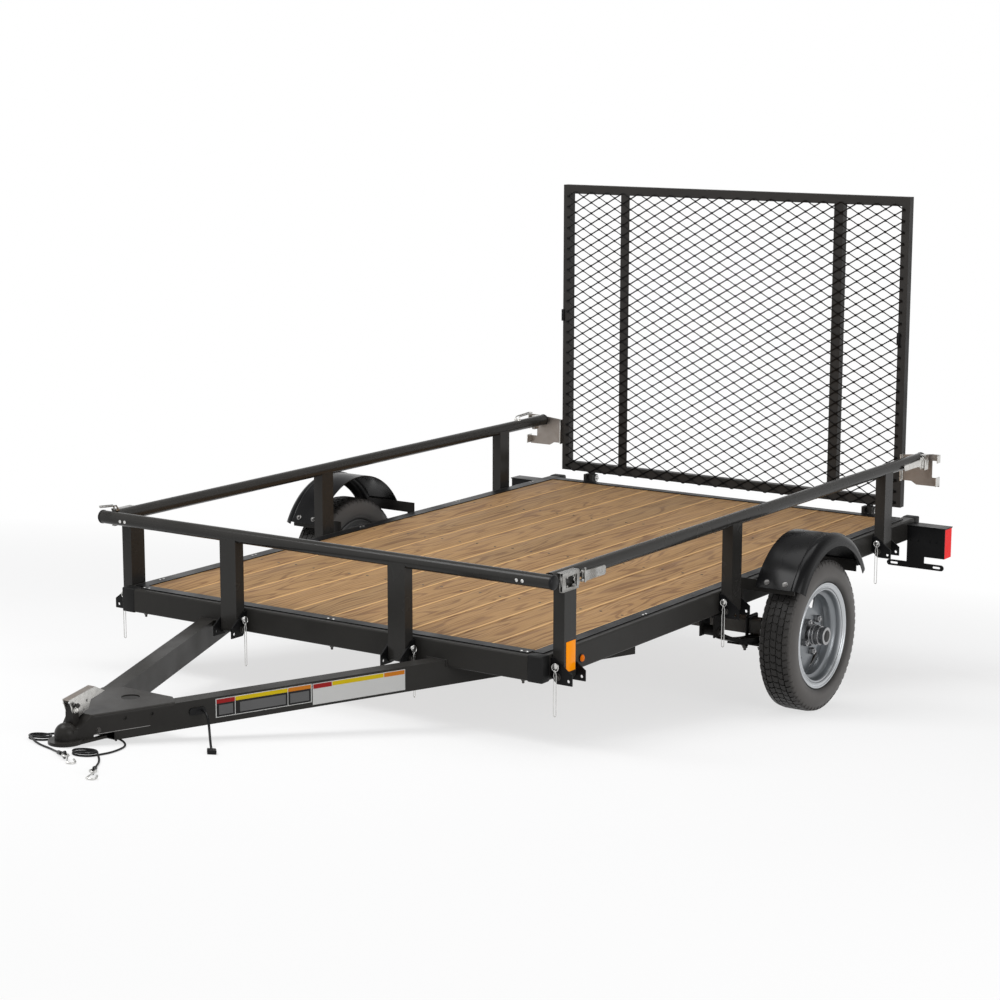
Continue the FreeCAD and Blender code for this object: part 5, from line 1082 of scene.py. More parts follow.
@dataclass
class GateMesh:
    """Raised expanded steel: rows of zigzag strands joined where they touch."""

    half_width: float = 748.0
    low: float = 20.0
    high: float = 1188.0
    pitch_wide: float = 73.0
    pitch_high: float = 42.0
    width: float = 5.4
    thickness: float = 2.2
    face: float = -59.6
    lean: float = math.radians(28.0)
    flat: float = 4.0

    def build(self) -> bpy.types.Object:
        """Builds every strand and hides the plain lattice.

        Returns:
            The mesh.
        """
        stock = Stock()
        half = self.pitch_wide / 2
        rows = int((self.high - self.low) / (self.pitch_high / 2))
        count = int(self.half_width / half)
        sweep = self.pitch_high / 4 - self.width * 0.42
        for row in range(1, rows):
            middle = self.low + row * self.pitch_high / 2
            line = []
            for step in range(-count, count + 1):
                up = middle + sweep * (1 if (step + row) % 2 else -1)
                line += [(step * half - self.flat, up), (step * half + self.flat, up)]
            self.strand(stock, line)
        made = stock.piece("gate_expanded_mesh", Body.GATE, "gate_paint", MESH_BLACK, 30.0)
        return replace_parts(made, "gate_mesh")

    def strand(self, stock: Stock, line: Sequence[Flat]) -> None:
        """Adds one zigzag strand, leaning so that its flat catches the light.

        Args:
            stock: The stock it goes to.
            line: The strand's corners, aside and up.
        """
        rise, depth = self.width / 2 * math.cos(self.lean), self.width / 2 * math.sin(self.lean)
        thick = self.thickness / 2
        section = ((-depth - thick, -rise), (-depth + thick, -rise), (depth + thick, rise),
                   (depth - thick, rise))
        stock.skin([stock.facet((self.face + out, aside, up + lift) for out, lift in section)
                    for aside, up in line])


@dataclass
class Deck:
    """Planed boards with eased edges, and the screws that hold them."""

    count: int = 10
    span: float = 1514.0
    gap: float = 1.5
    start: float = 2.0
    end: float = 2432.0
    thickness: float = 38.0
    screw_rows: Sequence[float] = (615.0, 1255.0, 1895.0)
    screw_offset: float = 42.0
    screw_shift: float = 5.04
    screw_low: float = -0.6
    screw_high: float = 0.5

    @property
    def pitch(self) -> float:
        """The distance from one board to the next."""
        return (self.span + self.gap) / self.count

    def boards(self) -> bpy.types.Object:
        """Builds the boards, each with its own small shift.

        Returns:
            The boards.
        """
        stock = Stock()
        chance = random.Random(4)
        for index in range(self.count):
            low = -self.span / 2 + index * self.pitch
            drop = chance.uniform(0.0, 0.5)
            stock.block((self.start + chance.uniform(0.0, 1.5), low, -self.thickness),
                        (self.end, low + self.pitch - self.gap, -drop))
        made = stock.piece("planed_boards", Body.CHASSIS, "pine_boards", DECK_PINE, 30.0, 2.6, 3)
        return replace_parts(made, "deck_boards")

    def screws(self) -> bpy.types.Object:
        """Builds two screws a board over each cross member.

        Returns:
            The screws.
        """
        stock = Stock()
        for ahead in self.screw_rows:
            for index in range(self.count):
                middle = -self.span / 2 + (index + 0.5) * self.pitch
                for sign in (-1, 1):
                    foot, top = (at(ahead + sign * self.screw_shift, middle + sign * self.screw_offset, up)
                                 for up in (self.screw_low, self.screw_high))
                    stock.lathe([(0.0, 4.6), (0.7, 4.6), (1.0, 3.6)], foot, top, 12)
        return stock.piece("deck_screws", Body.CHASSIS, "zinc_steel", DARK_STEEL, 30.0)

    def build(self) -> None:
        """Builds boards and screws."""
        self.boards()
        self.screws()


@dataclass
class WheelPart:
    """What the pieces of one wheel share."""

    side: str
    sign: int

    @property
    def body(self) -> Body:
        """The body that this wheel is."""
        return Body.WHEEL_LEFT if self.sign > 0 else Body.WHEEL_RIGHT

    @property
    def way(self) -> Vector:
        """The way out along the axle."""
        return at(0, self.sign, 0)

    def axis(self, aside: float) -> Vector:
        """Gives a point of the wheel's axis."""
        return at(WHEEL_AHEAD, self.sign * aside, WHEEL_UP)


@dataclass
class Tyre(WheelPart):
    """One tyre with its tread and the lugs over its shoulders."""

    radius: float = 254.0
    groove: float = 6.5
    blocks: int = 62
    block_share: float = 0.80
    lug_share: float = 0.52
    lug_phase: float = 0.2
    edge: float = 40.0
    stock: Stock = field(default_factory=Stock)

    @property
    def step(self) -> float:
        """The angle from one tread block to the next."""
        return math.tau / self.blocks

    def point(self, aside: float, radius: float, angle: float) -> Vector:
        """Gives a point of the tyre from its middle plane, its radius and its angle."""
        return self.axis(WHEEL_ASIDE + aside) + round_axle(angle) * radius

    def casing(self) -> None:
        """Adds the turned casing, from bead to bead."""
        half = [(47.2, 157.8), (48.0, 170.0), (49.2, 177.6), (53.4, 179.8), (57.4, 183.2), (60.4, 190.0),
                (61.6, 199.0), (61.9, 208.0), (61.0, 219.0), (58.9, 229.0), (56.0, 236.5), (53.8, 239.0),
                (52.6, 243.0), (48.6, 246.4)]
        low = self.radius - self.groove
        crown = [(36.0, low - 0.6), (12.0, low), (-12.0, low), (-36.0, low - 0.6)]
        outline = half + crown + [(-aside, radius) for aside, radius in reversed(half)]
        outline += [(-48.0, 157.0), (48.0, 157.0)]
        self.stock.ring(outline, self.axis(WHEEL_ASIDE), self.way, 96)

    def tread(self) -> None:
        """Adds rows of tread blocks with slanted gaps between them."""
        rows = ((-49.0, -33.5, 0.0, 5.0), (-30.0, -12.5, 0.5, -4.0), (-9.5, 9.5, 0.25, 3.2),
                (12.5, 30.0, 0.5, 4.0), (33.5, 49.0, 0.0, -5.0))
        for low, high, phase, slant in rows:
            for index in range(self.blocks):
                self.block(low, high, (index + phase) * self.step, slant)

    def block(self, low: float, high: float, begin: float, slant: float) -> None:
        """Adds one tread block, slanted across and notched at one side.

        Args:
            low: Its inner edge across the tread.
            high: Its outer edge across the tread.
            begin: Its first angle.
            slant: How far its outer edge is ahead, in millimetres.
        """
        lead = slant / self.radius
        middle = (low + high) / 2
        notch = (0.16 if abs(middle) < self.edge else 0.04) * self.step
        end = begin + self.block_share * self.step
        outline = [(low, begin), (low, end), (middle, end + lead / 2 + notch), (high, end + lead),
                   (high, begin + lead), (middle, begin + lead / 2 + notch)]
        root, points = self.radius - self.groove - 1.5, []
        for inner, outer in ((root, root - 6.0), (self.radius - 0.4, self.radius - 3.4)):
            for aside, angle in outline:
                points.append(self.point(aside, outer if abs(aside) > self.edge else inner, angle))
        faces = [(5, 4, 3, 2, 1, 0), (6, 7, 8, 9, 10, 11)]
        faces += [(i, (i + 1) % 6, (i + 1) % 6 + 6, i + 6) for i in range(6)]
        self.stock.facet(points, faces)

    def shoulder(self) -> None:
        """Adds the lugs that run from the tread over the shoulder."""
        section = ((49.0, 250.0), (53.6, 244.8), (56.6, 235.4), (46.0, 245.0), (51.0, 240.0), (54.4, 233.0))
        faces = [(0, 1, 3, 2), (2, 3, 5, 4), (6, 8, 9, 7), (8, 10, 11, 9), (0, 6, 7, 1), (4, 5, 11, 10),
                 (0, 2, 8, 6), (2, 4, 10, 8), (1, 7, 9, 3), (3, 9, 11, 5)]
        for way in (-1, 1):
            for index in range(self.blocks):
                begin = (index + self.lug_phase) * self.step
                ends = (begin, begin + self.lug_share * self.step)
                self.stock.facet([self.point(way * aside, radius, angle) for aside, radius in section
                             for angle in ends], faces)

    def build(self) -> None:
        """Builds the tyre and hides its plain solid."""
        self.casing()
        self.tread()
        self.shoulder()
        tyre = self.stock.piece(f"treaded_tyre_{self.side}", self.body, "tyre_rubber", TYRE_RUBBER, 32.0)
        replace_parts(tyre, f"tyre_{self.side}")


@dataclass
class Fender:
    """A rolled fender with a round outer shoulder and a wired edge."""

    side: str
    sign: int
    ahead: float = WHEEL_AHEAD
    up: float = -118.5
    radius: float = 276.0
    reach: float = math.radians(62.0)
    bolt_reach: float = math.radians(58.0)
    wall: float = 2.6
    bolts: Flat = (932.0, 998.0)

    def section(self) -> list[Flat]:
        """Gives the fender's section, outer skin then inner skin.

        Returns:
            Place aside and radius of each corner, in order round the section.
        """
        outer = [(896.0, self.radius), (960.0, self.radius), (1018.0, self.radius), (1022.0, 275.2),
                 (1026.0, 276.4),
                 *[(1031.0 + 29.0 * math.sin(turn), 250.5 + 29.0 * math.cos(turn))
                   for turn in (math.radians(angle) for angle in range(-4, 95, 7))],
                 (1060.6, 244.0), (1061.0, 238.0)]
        inner = []
        for index, (aside, radius) in enumerate(outer):
            before = Vector(outer[max(index - 1, 0)])
            after = Vector(outer[min(index + 1, len(outer) - 1)])
            way = (after - before).normalized()
            inner.append((aside + way.y * self.wall, radius - way.x * self.wall))
        return outer + list(reversed(inner))

    def build(self) -> None:
        """Builds the fender and its bolts."""
        stock = Stock()
        stock.ring(self.section(), at(self.ahead, 0, self.up), at(0, self.sign, 0), 48, -self.reach,
                   2 * self.reach)
        made = stock.piece(f"rolled_fender_{self.side}", Body.CHASSIS, "fender_paint", FENDER_BLACK, 40.0)
        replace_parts(made, f"fender_{self.side}")
        bolts = Stock()
        for angle in (-self.bolt_reach, self.bolt_reach):
            out = round_axle(angle)
            for aside in self.bolts:
                bolts.bolt(at(self.ahead, self.sign * aside, self.up) + out * self.radius, out, 8.0, 3.0)
        bolts.piece(f"fender_bolts_{self.side}", Body.CHASSIS, "zinc_steel", DULL_BOLT, 30.0)


@dataclass
class RailHardware:
    """The hinge bolts, pin rings and hairpins of the eight rail brackets."""

    stand_off: float = 24.0
    ear_face: float = 37.75
    bolt_drop: float = 62.0
    pin_drop: float = 29.0
    pin_end: float = 48.75
    hang: float = 136.0
    bolt_size: float = 10.5
    ring_radius: float = 11.0
    clip_half: float = 4.4
    posts: Sequence[float] = (263.0, 1403.0, 2402.0)
    front_posts: Sequence[float] = (-325.0, 325.0)

    def places(self) -> list[tuple[Vector, Vector, Vector]]:
        """Gives each bracket's foot on the frame, its outward way and its pin's way.

        Returns:
            A foot and two ways for each bracket.
        """
        found = []
        for _, sign in SIDES:
            for ahead in self.posts:
                found.append((at(ahead, sign * SIDE_FACE, 0), at(0, sign, 0), at(1, 0, 0)))
        for aside in self.front_posts:
            found.append((at(FRONT_FACE, aside, 0), at(1, 0, 0), at(0, 1, 0)))
        return found

    def hinge_bolt(self, stock: Stock, foot: Vector, out: Vector, pin: Vector) -> None:
        """Adds a hinge bolt's head on one ear and its nut on the other.

        Args:
            stock: The stock it goes to.
            foot: The bracket's foot.
            out: The bracket's outward way.
            pin: The pin's way.
        """
        axis = foot + out * self.stand_off - at(0, 0, self.bolt_drop)
        stock.bolt(axis + pin * self.ear_face, pin, self.bolt_size)
        stock.bolt(axis - pin * self.ear_face, -pin, self.bolt_size, 4.0)

    def hairpin(self, stock: Stock, foot: Vector, out: Vector, pin: Vector) -> None:
        """Adds the lock pin's head, its ring and the hairpin that hangs from it.

        Args:
            stock: The stock it goes to.
            foot: The bracket's foot.
            out: The bracket's outward way.
            pin: The pin's way.
        """
        up = at(0, 0, 1)
        axis = foot + out * self.stand_off - up * self.pin_drop
        face = axis + pin * self.pin_end
        stock.lathe([(0.0, 9.4), (0.5, 9.4), (0.85, 7.6), (1.0, 3.0)], face - pin * 2.0, face + pin * 4.5, 24)
        eye = face + pin * 2.2
        ring = [eye + (out * math.cos(turn) + up * math.sin(turn)) * self.ring_radius - up * 3.0
                for turn in (math.tau * step / 22 for step in range(22))]
        stock.wire(ring, 1.5, True)
        root, half, bend = eye - up * 13.0, self.clip_half, self.clip_half - self.hang
        points = [(0.0, 3.0, 1.6), (2.6, -3.0, 1.2), (half, -12.0, 0.0), (half, bend, 0.0)]
        for turn in (math.pi * step / 8 for step in range(1, 8)):
            points.append((half * math.cos(turn), bend - half * math.sin(turn), 0.0))
        points += [(-half, bend, 0.0), (-half, -30.0, 0.0), (-2.2, -22.0, 0.0), (-half, -14.0, 0.0),
                   (-2.4, -4.0, 0.0), (-1.2, 2.5, 0.0)]
        stock.wire([root + out * away + up * rise + pin * along for away, rise, along in points], 1.35)

    def build(self) -> None:
        """Builds every bracket's bolt and hairpin as two pieces."""
        bolts, clips = Stock(), Stock()
        for foot, out, pin in self.places():
            self.hinge_bolt(bolts, foot, out, pin)
            self.hairpin(clips, foot, out, pin)
        bolts.piece("bracket_hinge_bolts", Body.CHASSIS, "bracket_paint", DARK_STEEL, 30.0)
        clips.piece("hairpins_and_rings", Body.CHASSIS, "zinc_steel", ZINC, 40.0)


@dataclass
class Toggle:
    """One toggle latch on a side rail: a strike box, a buckle and a lever."""

    name: str
    body: Body
    sign: int
    strike: Flat
    buckle: Flat
    lever: Flat
    look: object
    handle: Optional[Flat] = None
    lever_low: float = 205.0
    lever_high: float = 237.0
    face: float = 856.5
    low: float = 194.0
    high: float = 249.0
    wall: float = 2.2
    stock: Stock = field(default_factory=Stock)

    def plate(self, outlines: Sequence[Sequence[Point]], start: float, length: float) -> None:
        """Adds a plate against the rail's outer side."""
        self.stock.prism(outlines, Plane.SIDE, self.sign * start, self.sign * length)

    def strike_box(self) -> None:
        """Adds the box round the rail with its window."""
        begin, end = self.strike
        window = [(begin + 9.0, self.low + 8.0), (end - 19.0, self.low + 11.0),
                  (end - 14.0, self.high - 14.0), (begin + 9.0, self.high - 11.0)]
        outline = [(begin, self.low), (end, self.low), (end, self.high), (begin, self.high)]
        for start in (self.face, self.face + 9.0):
            self.plate([outline, window], start, self.wall)
        for inner, low, high in ((self.face, self.low, self.low + self.wall),
                                 (self.face, self.high - self.wall, self.high),
                                 (846.0, self.high - 1.0, self.high + 1.2)):
            self.stock.side_block(self.sign, (begin, inner, low), (end, self.face + 11.6, high))
        for share in (0.32, 0.68):
            middle = begin + (end - begin) * share
            for up, radius in ((self.low + 14.0, 3.4), (self.high - 16.0, 2.8)):
                near, far = (at(middle, self.sign * (self.face + out), up) for out in (1.0, 10.0))
                self.stock.rod(near, far, radius, 14)

    def buckle_loop(self) -> None:
        """Adds the buckle's pins, its bail and its adjusting nuts."""
        begin, end = self.buckle
        aside = self.sign * (self.face + 6.0)
        for ahead in (begin + 6.0, end - 6.0):
            self.stock.rod(at(ahead, aside, self.low + 8.0), at(ahead, aside, self.high - 4.0), 3.6, 14)
        bail = [at(begin + 6.0, aside, self.low + 16.0), at(end + 12.0, aside, self.low + 18.0),
                at(end + 20.0, aside, (self.low + self.high) / 2), at(end + 12.0, aside, self.high - 14.0),
                at(begin + 6.0, aside, self.high - 12.0)]
        self.stock.wire(bail, 2.4)
        for up in (self.low + 17.0, self.high - 13.0):
            self.stock.hexagon(at((begin + end) / 2 - 5.0, aside, up), at(1, 0, 0), 9.5, 7.0)
        self.stock.side_block(self.sign, (begin + 2.0, self.face - 0.5, self.low + 12.0),
                         (begin + 16.0, self.face + 3.0, self.high - 8.0))

    def lever_channel(self) -> None:
        """Adds the lever, a channel that tapers to its tip."""
        tip, root = self.lever
        way = 1.0 if root > tip else -1.0
        low, high = self.lever_low, self.lever_high
        outline = [(tip, low + 7.0), (tip + way * 5.0, low + 2.0), (root, low), (root, high),
                   (tip + way * 5.0, high - 4.0), (tip, high - 9.0)]
        self.plate([outline], self.face + 6.0, self.wall)
        near, far = sorted((tip + way * 6.0, root))
        for up in (low + 1.0, high - 4.4):
            self.stock.side_block(self.sign, (near, self.face - 1.0, up), (far, self.face + 8.0, up + 2.2))
        for share in (0.3, 0.62):
            place = at(tip + (root - tip) * share, self.sign * (self.face + 8.0), (low + high) / 2)
            self.stock.dome_screw(place, at(0, self.sign, 0), 3.2)

    def raised_handle(self) -> None:
        """Adds the handle that stands above the rail."""
        begin, end = self.handle
        way = 1.0 if end > begin else -1.0
        middle = self.sign * RAIL_ASIDE
        near = [at(begin, middle - 8.0, 252.0), at(begin + way * 10.0, middle - 8.0, 268.0),
                at(end - way * 6.0, middle - 8.0, 273.0)]
        far = [at(point.x, 2 * middle - point.y, point.z) for point in reversed(near)]
        self.stock.wire([*near, at(end, middle, 272.0), *far], 2.8)
        low, high = sorted((begin, begin + way * 14.0))
        self.stock.block((low, middle - 11.0, 251.0), (high, middle + 11.0, 258.0))

    def build(self) -> bpy.types.Object:
        """Builds the latch and gives its piece.

        Returns:
            The latch.
        """
        self.strike_box()
        self.buckle_loop()
        self.lever_channel()
        if self.handle:
            self.raised_handle()
        return self.stock.piece(self.name, self.body, "zinc_steel", self.look, 40.0, 0.5, 1)


@dataclass
class RailTrim:
    """The rails' end plugs, screws and reflectors, and the latches on them."""

    side: str
    sign: int
    rear_end: float = -44.0
    front_rail: float = 2509.0
    front_end: float = 862.0
    bore: float = 22.2

    @property
    def body(self) -> Body:
        """The rail of this side."""
        return Body.RAIL_LEFT if self.sign > 0 else Body.RAIL_RIGHT

    def latches(self) -> None:
        """Builds the front and the rear toggle latch."""
        raised = self.sign < 0
        front = Toggle(f"front_toggle_{self.side}", self.body, self.sign, strike=(2380.0, 2465.0),
                       buckle=(2332.0, 2380.0), lever=(2226.0, 2334.0), look=LATCH_STEEL,
                       handle=(2476.0, 2552.0) if raised else None)
        rear = Toggle(f"rear_toggle_{self.side}", self.body, self.sign, strike=(-44.0, -12.0),
                      buckle=(-10.0, 20.0), lever=(158.0, 10.0), look=BRIGHT_STEEL,
                      handle=(150.0, 44.0) if raised else None, lever_low=213.0, lever_high=238.0)
        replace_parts(front.build(), f"toggle_latches_{self.side}")
        rear.build()

    def plugs(self) -> None:
        """Builds the plug in the side rail's rear end and in the front rail's end."""
        stock = Stock()
        rear = at(self.rear_end, self.sign * RAIL_ASIDE, RAIL_UP)
        profile = [(0.0, self.bore), (0.55, self.bore), (0.85, 19.5), (1.0, 14.0)]
        stock.lathe(profile, rear, rear - at(8.0, 0, 0), 32)
        stock.piece(f"rail_plug_{self.side}", self.body, "black_plastic", PLASTIC, 50.0)
        stock = Stock()
        end = at(self.front_rail, self.sign * self.front_end, RAIL_UP)
        profile = [(0.0, self.bore), (0.5, self.bore), (0.8, 20.0), (1.0, 15.0)]
        stock.lathe(profile, end, end + at(0, self.sign * 9.0, 0), 32)
        stock.piece(f"front_rail_plug_{self.side}", Body.RAIL_FRONT, "black_plastic", PLASTIC, 50.0)

    def screws(self) -> None:
        """Builds the pair of screws near the front rail's end."""
        stock = Stock()
        for aside in (752.0, 772.0):
            stock.dome_screw(at(2529.2, self.sign * aside, 229.0), at(1, 0, 0), 5.4)
        stock.piece(f"front_rail_screws_{self.side}", Body.RAIL_FRONT, "zinc_steel", ZINC, 40.0)

    def reflector(self) -> None:
        """Builds the amber reflector on the corner post's outer face."""
        stock = Stock()
        stock.side_block(self.sign, (2375.0, 853.9, -50.0), (2424.0, 855.4, 39.0))
        stock.piece(f"post_reflector_{self.side}", self.body, "amber_lens", AMBER_REFLECTOR, 40.0, 0.5)

    def build(self) -> None:
        """Builds this side's trim."""
        self.latches()
        self.plugs()
        self.screws()
        self.reflector()


@dataclass
class FrameTrim:
    """The frame's end caps, screws, bolts, weld beads and side markers."""

    cap_inner: float = 760.0
    cap_outer: float = 813.0
    strip_top: float = 2.6
    front_strip: float = 2456.0
    side_strip: float = 781.0
    front_screws: Sequence[float] = (-732.0, 22.0, 732.0)
    side_screws: Sequence[float] = (120.0, 640.0, 1250.0, 1860.0, 2330.0)
    member_bolts: Sequence[float] = (-732.0, 30.0, 732.0)
    cross_members: Sequence[float] = (610.0, 1250.0, 1890.0)
    marker_ahead: float = 2272.0
    marker_up: float = -45.0

    def end_caps(self) -> None:
        """Builds the four plastic caps with rounded corners."""
        stock = Stock()
        for sign in SIGNS:
            for low, high in ((2445.0, 2487.0), (-106.0, -64.0)):
                stock.side_block(sign, (low, self.cap_inner, -78.0), (high, self.cap_outer, 2.0))
        made = stock.piece("rounded_end_caps", Body.CHASSIS, "black_plastic", GRAINED, 40.0, 5.0, 3)
        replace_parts(made, "end_caps")

    def screws(self) -> None:
        """Builds the screw pairs along the hold-down strips."""
        stock = Stock()
        up = at(0, 0, 1)
        for middle in self.front_screws:
            for offset in (-10.0, 10.0):
                stock.dome_screw(at(self.front_strip, middle + offset, self.strip_top), up, 4.6)
        for sign in SIGNS:
            for ahead in self.side_screws:
                for offset in (-9.0, 9.0):
                    place = at(ahead + offset, sign * self.side_strip, self.strip_top)
                    stock.dome_screw(place, up, 4.2)
        stock.piece("strip_screws", Body.CHASSIS, "zinc_steel", ZINC, 40.0)

    def bolt_ends(self) -> None:
        """Builds the bolt ends and nuts that show under the front member and the tongue."""
        stock = Stock()
        down = at(0, 0, -1)
        for middle in self.member_bolts:
            stock.bolt(at(2462.0, middle, -76.0), down, 8.0, 8.0)
        for sign in SIGNS:
            stock.bolt(at(3441.0, sign * 52.0, -130.6), down, 6.5, 4.0)
        stock.piece("underside_bolt_ends", Body.CHASSIS, "bracket_paint", DARK_STEEL, 35.0)

    def welds(self) -> None:
        """Builds the weld beads where tubes meet."""
        stock = Stock()
        seams = [((2487.0, 478.5, -57.0), (2487.0, 478.5, -75.0), 2.6, 3),
                 ((2487.0, 478.0, -54.6), (2487.0, 404.0, -54.6), 2.4, 4),
                 ((2436.0, 760.5, -76.6), (2443.0, 760.5, -76.6), 2.2, 5)]
        for ahead in self.cross_members:
            seams.append(((ahead - 20.0, 760.0, -77.0), (ahead + 20.0, 760.0, -77.0), 2.4, 6))
        for sign in SIGNS:
            for begin, end, radius, seed in seams:
                begin, end = (at(x, sign * y, z) for x, y, z in (begin, end))
                stock.weld(begin, end, radius, seed)
        stock.piece("frame_welds", Body.CHASSIS, "frame_paint", CHARCOAL, 50.0)

    def markers(self) -> None:
        """Builds the round side markers, each a domed lens in a rim."""
        stock, rims = Stock(), Stock()
        for sign in SIGNS:
            foot, top = (at(self.marker_ahead, sign * out, self.marker_up)
                         for out in (SIDE_FACE, SIDE_FACE + 8.0))
            stock.lathe([(0.0, 10.6), (0.5, 10.6), (0.78, 9.0), (0.93, 6.0), (1.0, 2.0)], foot, top, 32)
            rims.ring([(0.0, 10.4), (0.0, 13.2), (2.4, 12.6), (2.4, 10.4)], foot, at(0, sign, 0), 40)
        made = stock.piece("domed_markers", Body.CHASSIS, "amber_lens", AMBER_LENS, 60.0)
        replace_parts(made, "side_markers")
        rims.piece("marker_rims", Body.CHASSIS, "black_plastic", PLASTIC, 40.0)

    def build(self) -> None:
        """Builds all of the frame's trim."""
        self.end_caps()
        self.screws()
        self.bolt_ends()
        self.welds()
        self.markers()


@dataclass
class TonguePanels:
    """The two blank coloured panels on the left tongue tube's outer face."""

    slope: float = math.atan(TAPER)
    start: float = 477.0

    def face(self, ahead: float) -> Vector:
        """Gives a point of the tube's outer face at a place ahead, at height 0."""
        return at(ahead, self.start - (ahead - FRONT_FACE) * TAPER, 0)

    def panel(self, stock: Stock, front: float, rear: float, low: float, high: float,
              depth: float) -> None:
        """Adds a thin panel on the face.

        Args:
            stock: The stock it goes to.
            front: Its front end along the trailer.
            rear: Its rear end along the trailer.
            low: Its lower edge.
            high: Its upper edge.
            depth: How far it stands out.
        """
        out = at(math.sin(self.slope), math.cos(self.slope), 0)
        begin, end = self.face(front), self.face(rear)
        corners = [begin, end, end + out * depth, begin + out * depth]
        stock.prism([[(corner.x, corner.y) for corner in corners]], Plane.PLAN, low, high - low)

    def build(self) -> None:
        """Builds both panels with their coloured bands, all without words."""
        white, black, grey = (0.80, 0.80, 0.78), (0.02, 0.02, 0.02), (0.16, 0.16, 0.16)
        red, yellow, orange = (0.42, 0.02, 0.02), (0.85, 0.62, 0.01), (0.75, 0.24, 0.02)
        layers = (
            ("blank_label_edges", blank("white_panel", white), 0.4,
             ((3181.0, 2902.0, -115.0, -61.0), (2899.0, 2617.0, -124.0, -62.0))),
            ("blank_dark_label", blank("black_panel", black), 0.7,
             ((3178.5, 3126.5, -113.0, -63.0), (3124.5, 2973.5, -113.0, -63.0),
              (2971.5, 2904.5, -113.0, -63.0))),
            ("blank_dark_fields", blank("grey_panel", grey, 0.1), 0.9,
             ((3172.0, 3132.0, -108.0, -80.0), (3112.0, 2979.0, -108.0, -80.0),
              (2966.0, 2910.0, -108.0, -80.0))),
            ("blank_red_heads", blank("red_band", red), 1.0,
             ((3178.5, 3126.5, -75.0, -63.0), (2897.0, 2842.0, -77.0, -64.0))),
            ("blank_yellow_heads", blank("yellow_band", yellow), 1.0,
             ((3124.5, 2973.5, -74.0, -63.0), (2840.0, 2684.0, -76.0, -64.0))),
            ("blank_orange_heads", blank("orange_band", orange), 1.0,
             ((2971.5, 2904.5, -74.0, -63.0), (2682.0, 2619.0, -76.0, -64.0))),
        )
        for name, look, depth, places in layers:
            stock = Stock()
            for front, rear, low, high in places:
                self.panel(stock, front, rear, low, high, depth)
            stock.piece(name, Body.CHASSIS, "frame_paint", look, 40.0)


@dataclass
class CouplerTrim:
    """The coupler's bolts and latch pins, and the bright rods along its flange's edges that are a painted
    highlight.
    """

    plate_front: float = 3520.0
    flange_end: float = 3361.0
    highlight_rod_up: float = -105.0
    side_bolt: float = 3507.0
    pin: Point = (3553.0, 22.2, -20.0)

    def edge(self, ahead: float) -> float:
        """Gives the plate's half width at a place ahead."""
        return 481.0 - (ahead - FRONT_FACE) * TAPER

    def build(self) -> None:
        """Builds the painted highlight rods, the bolts and the latch's pins."""
        highlight_rods, bolts = Stock(), Stock()
        for sign in SIGNS:
            # A thin bright rod along each flange's lower edge is a painted highlight of the rounded edge.
            highlight_rods.wire([at(ahead, sign * (self.edge(ahead) - 0.6), self.highlight_rod_up)
                        for ahead in (self.flange_end + 6.0, self.plate_front - 2.0)], 1.3)
            side = at(math.sin(TonguePanels.slope), sign * math.cos(TonguePanels.slope), 0)
            bolts.bolt(at(self.side_bolt, sign * (self.edge(self.side_bolt) - 0.4), -95.0), side, 7.0)
        for sign in SIGNS:
            bolts.bolt(at(self.pin[0], sign * self.pin[1], self.pin[2]), at(0, sign, 0), 6.0, 2.0)
        highlight_rods.piece("coupler_flange_highlight_rods", Body.CHASSIS, "coupler_paint", EDGE_HIGHLIGHT_STEEL, 60.0)
        bolts.piece("coupler_bolts", Body.CHASSIS, "bracket_paint", DARK_STEEL, 35.0)


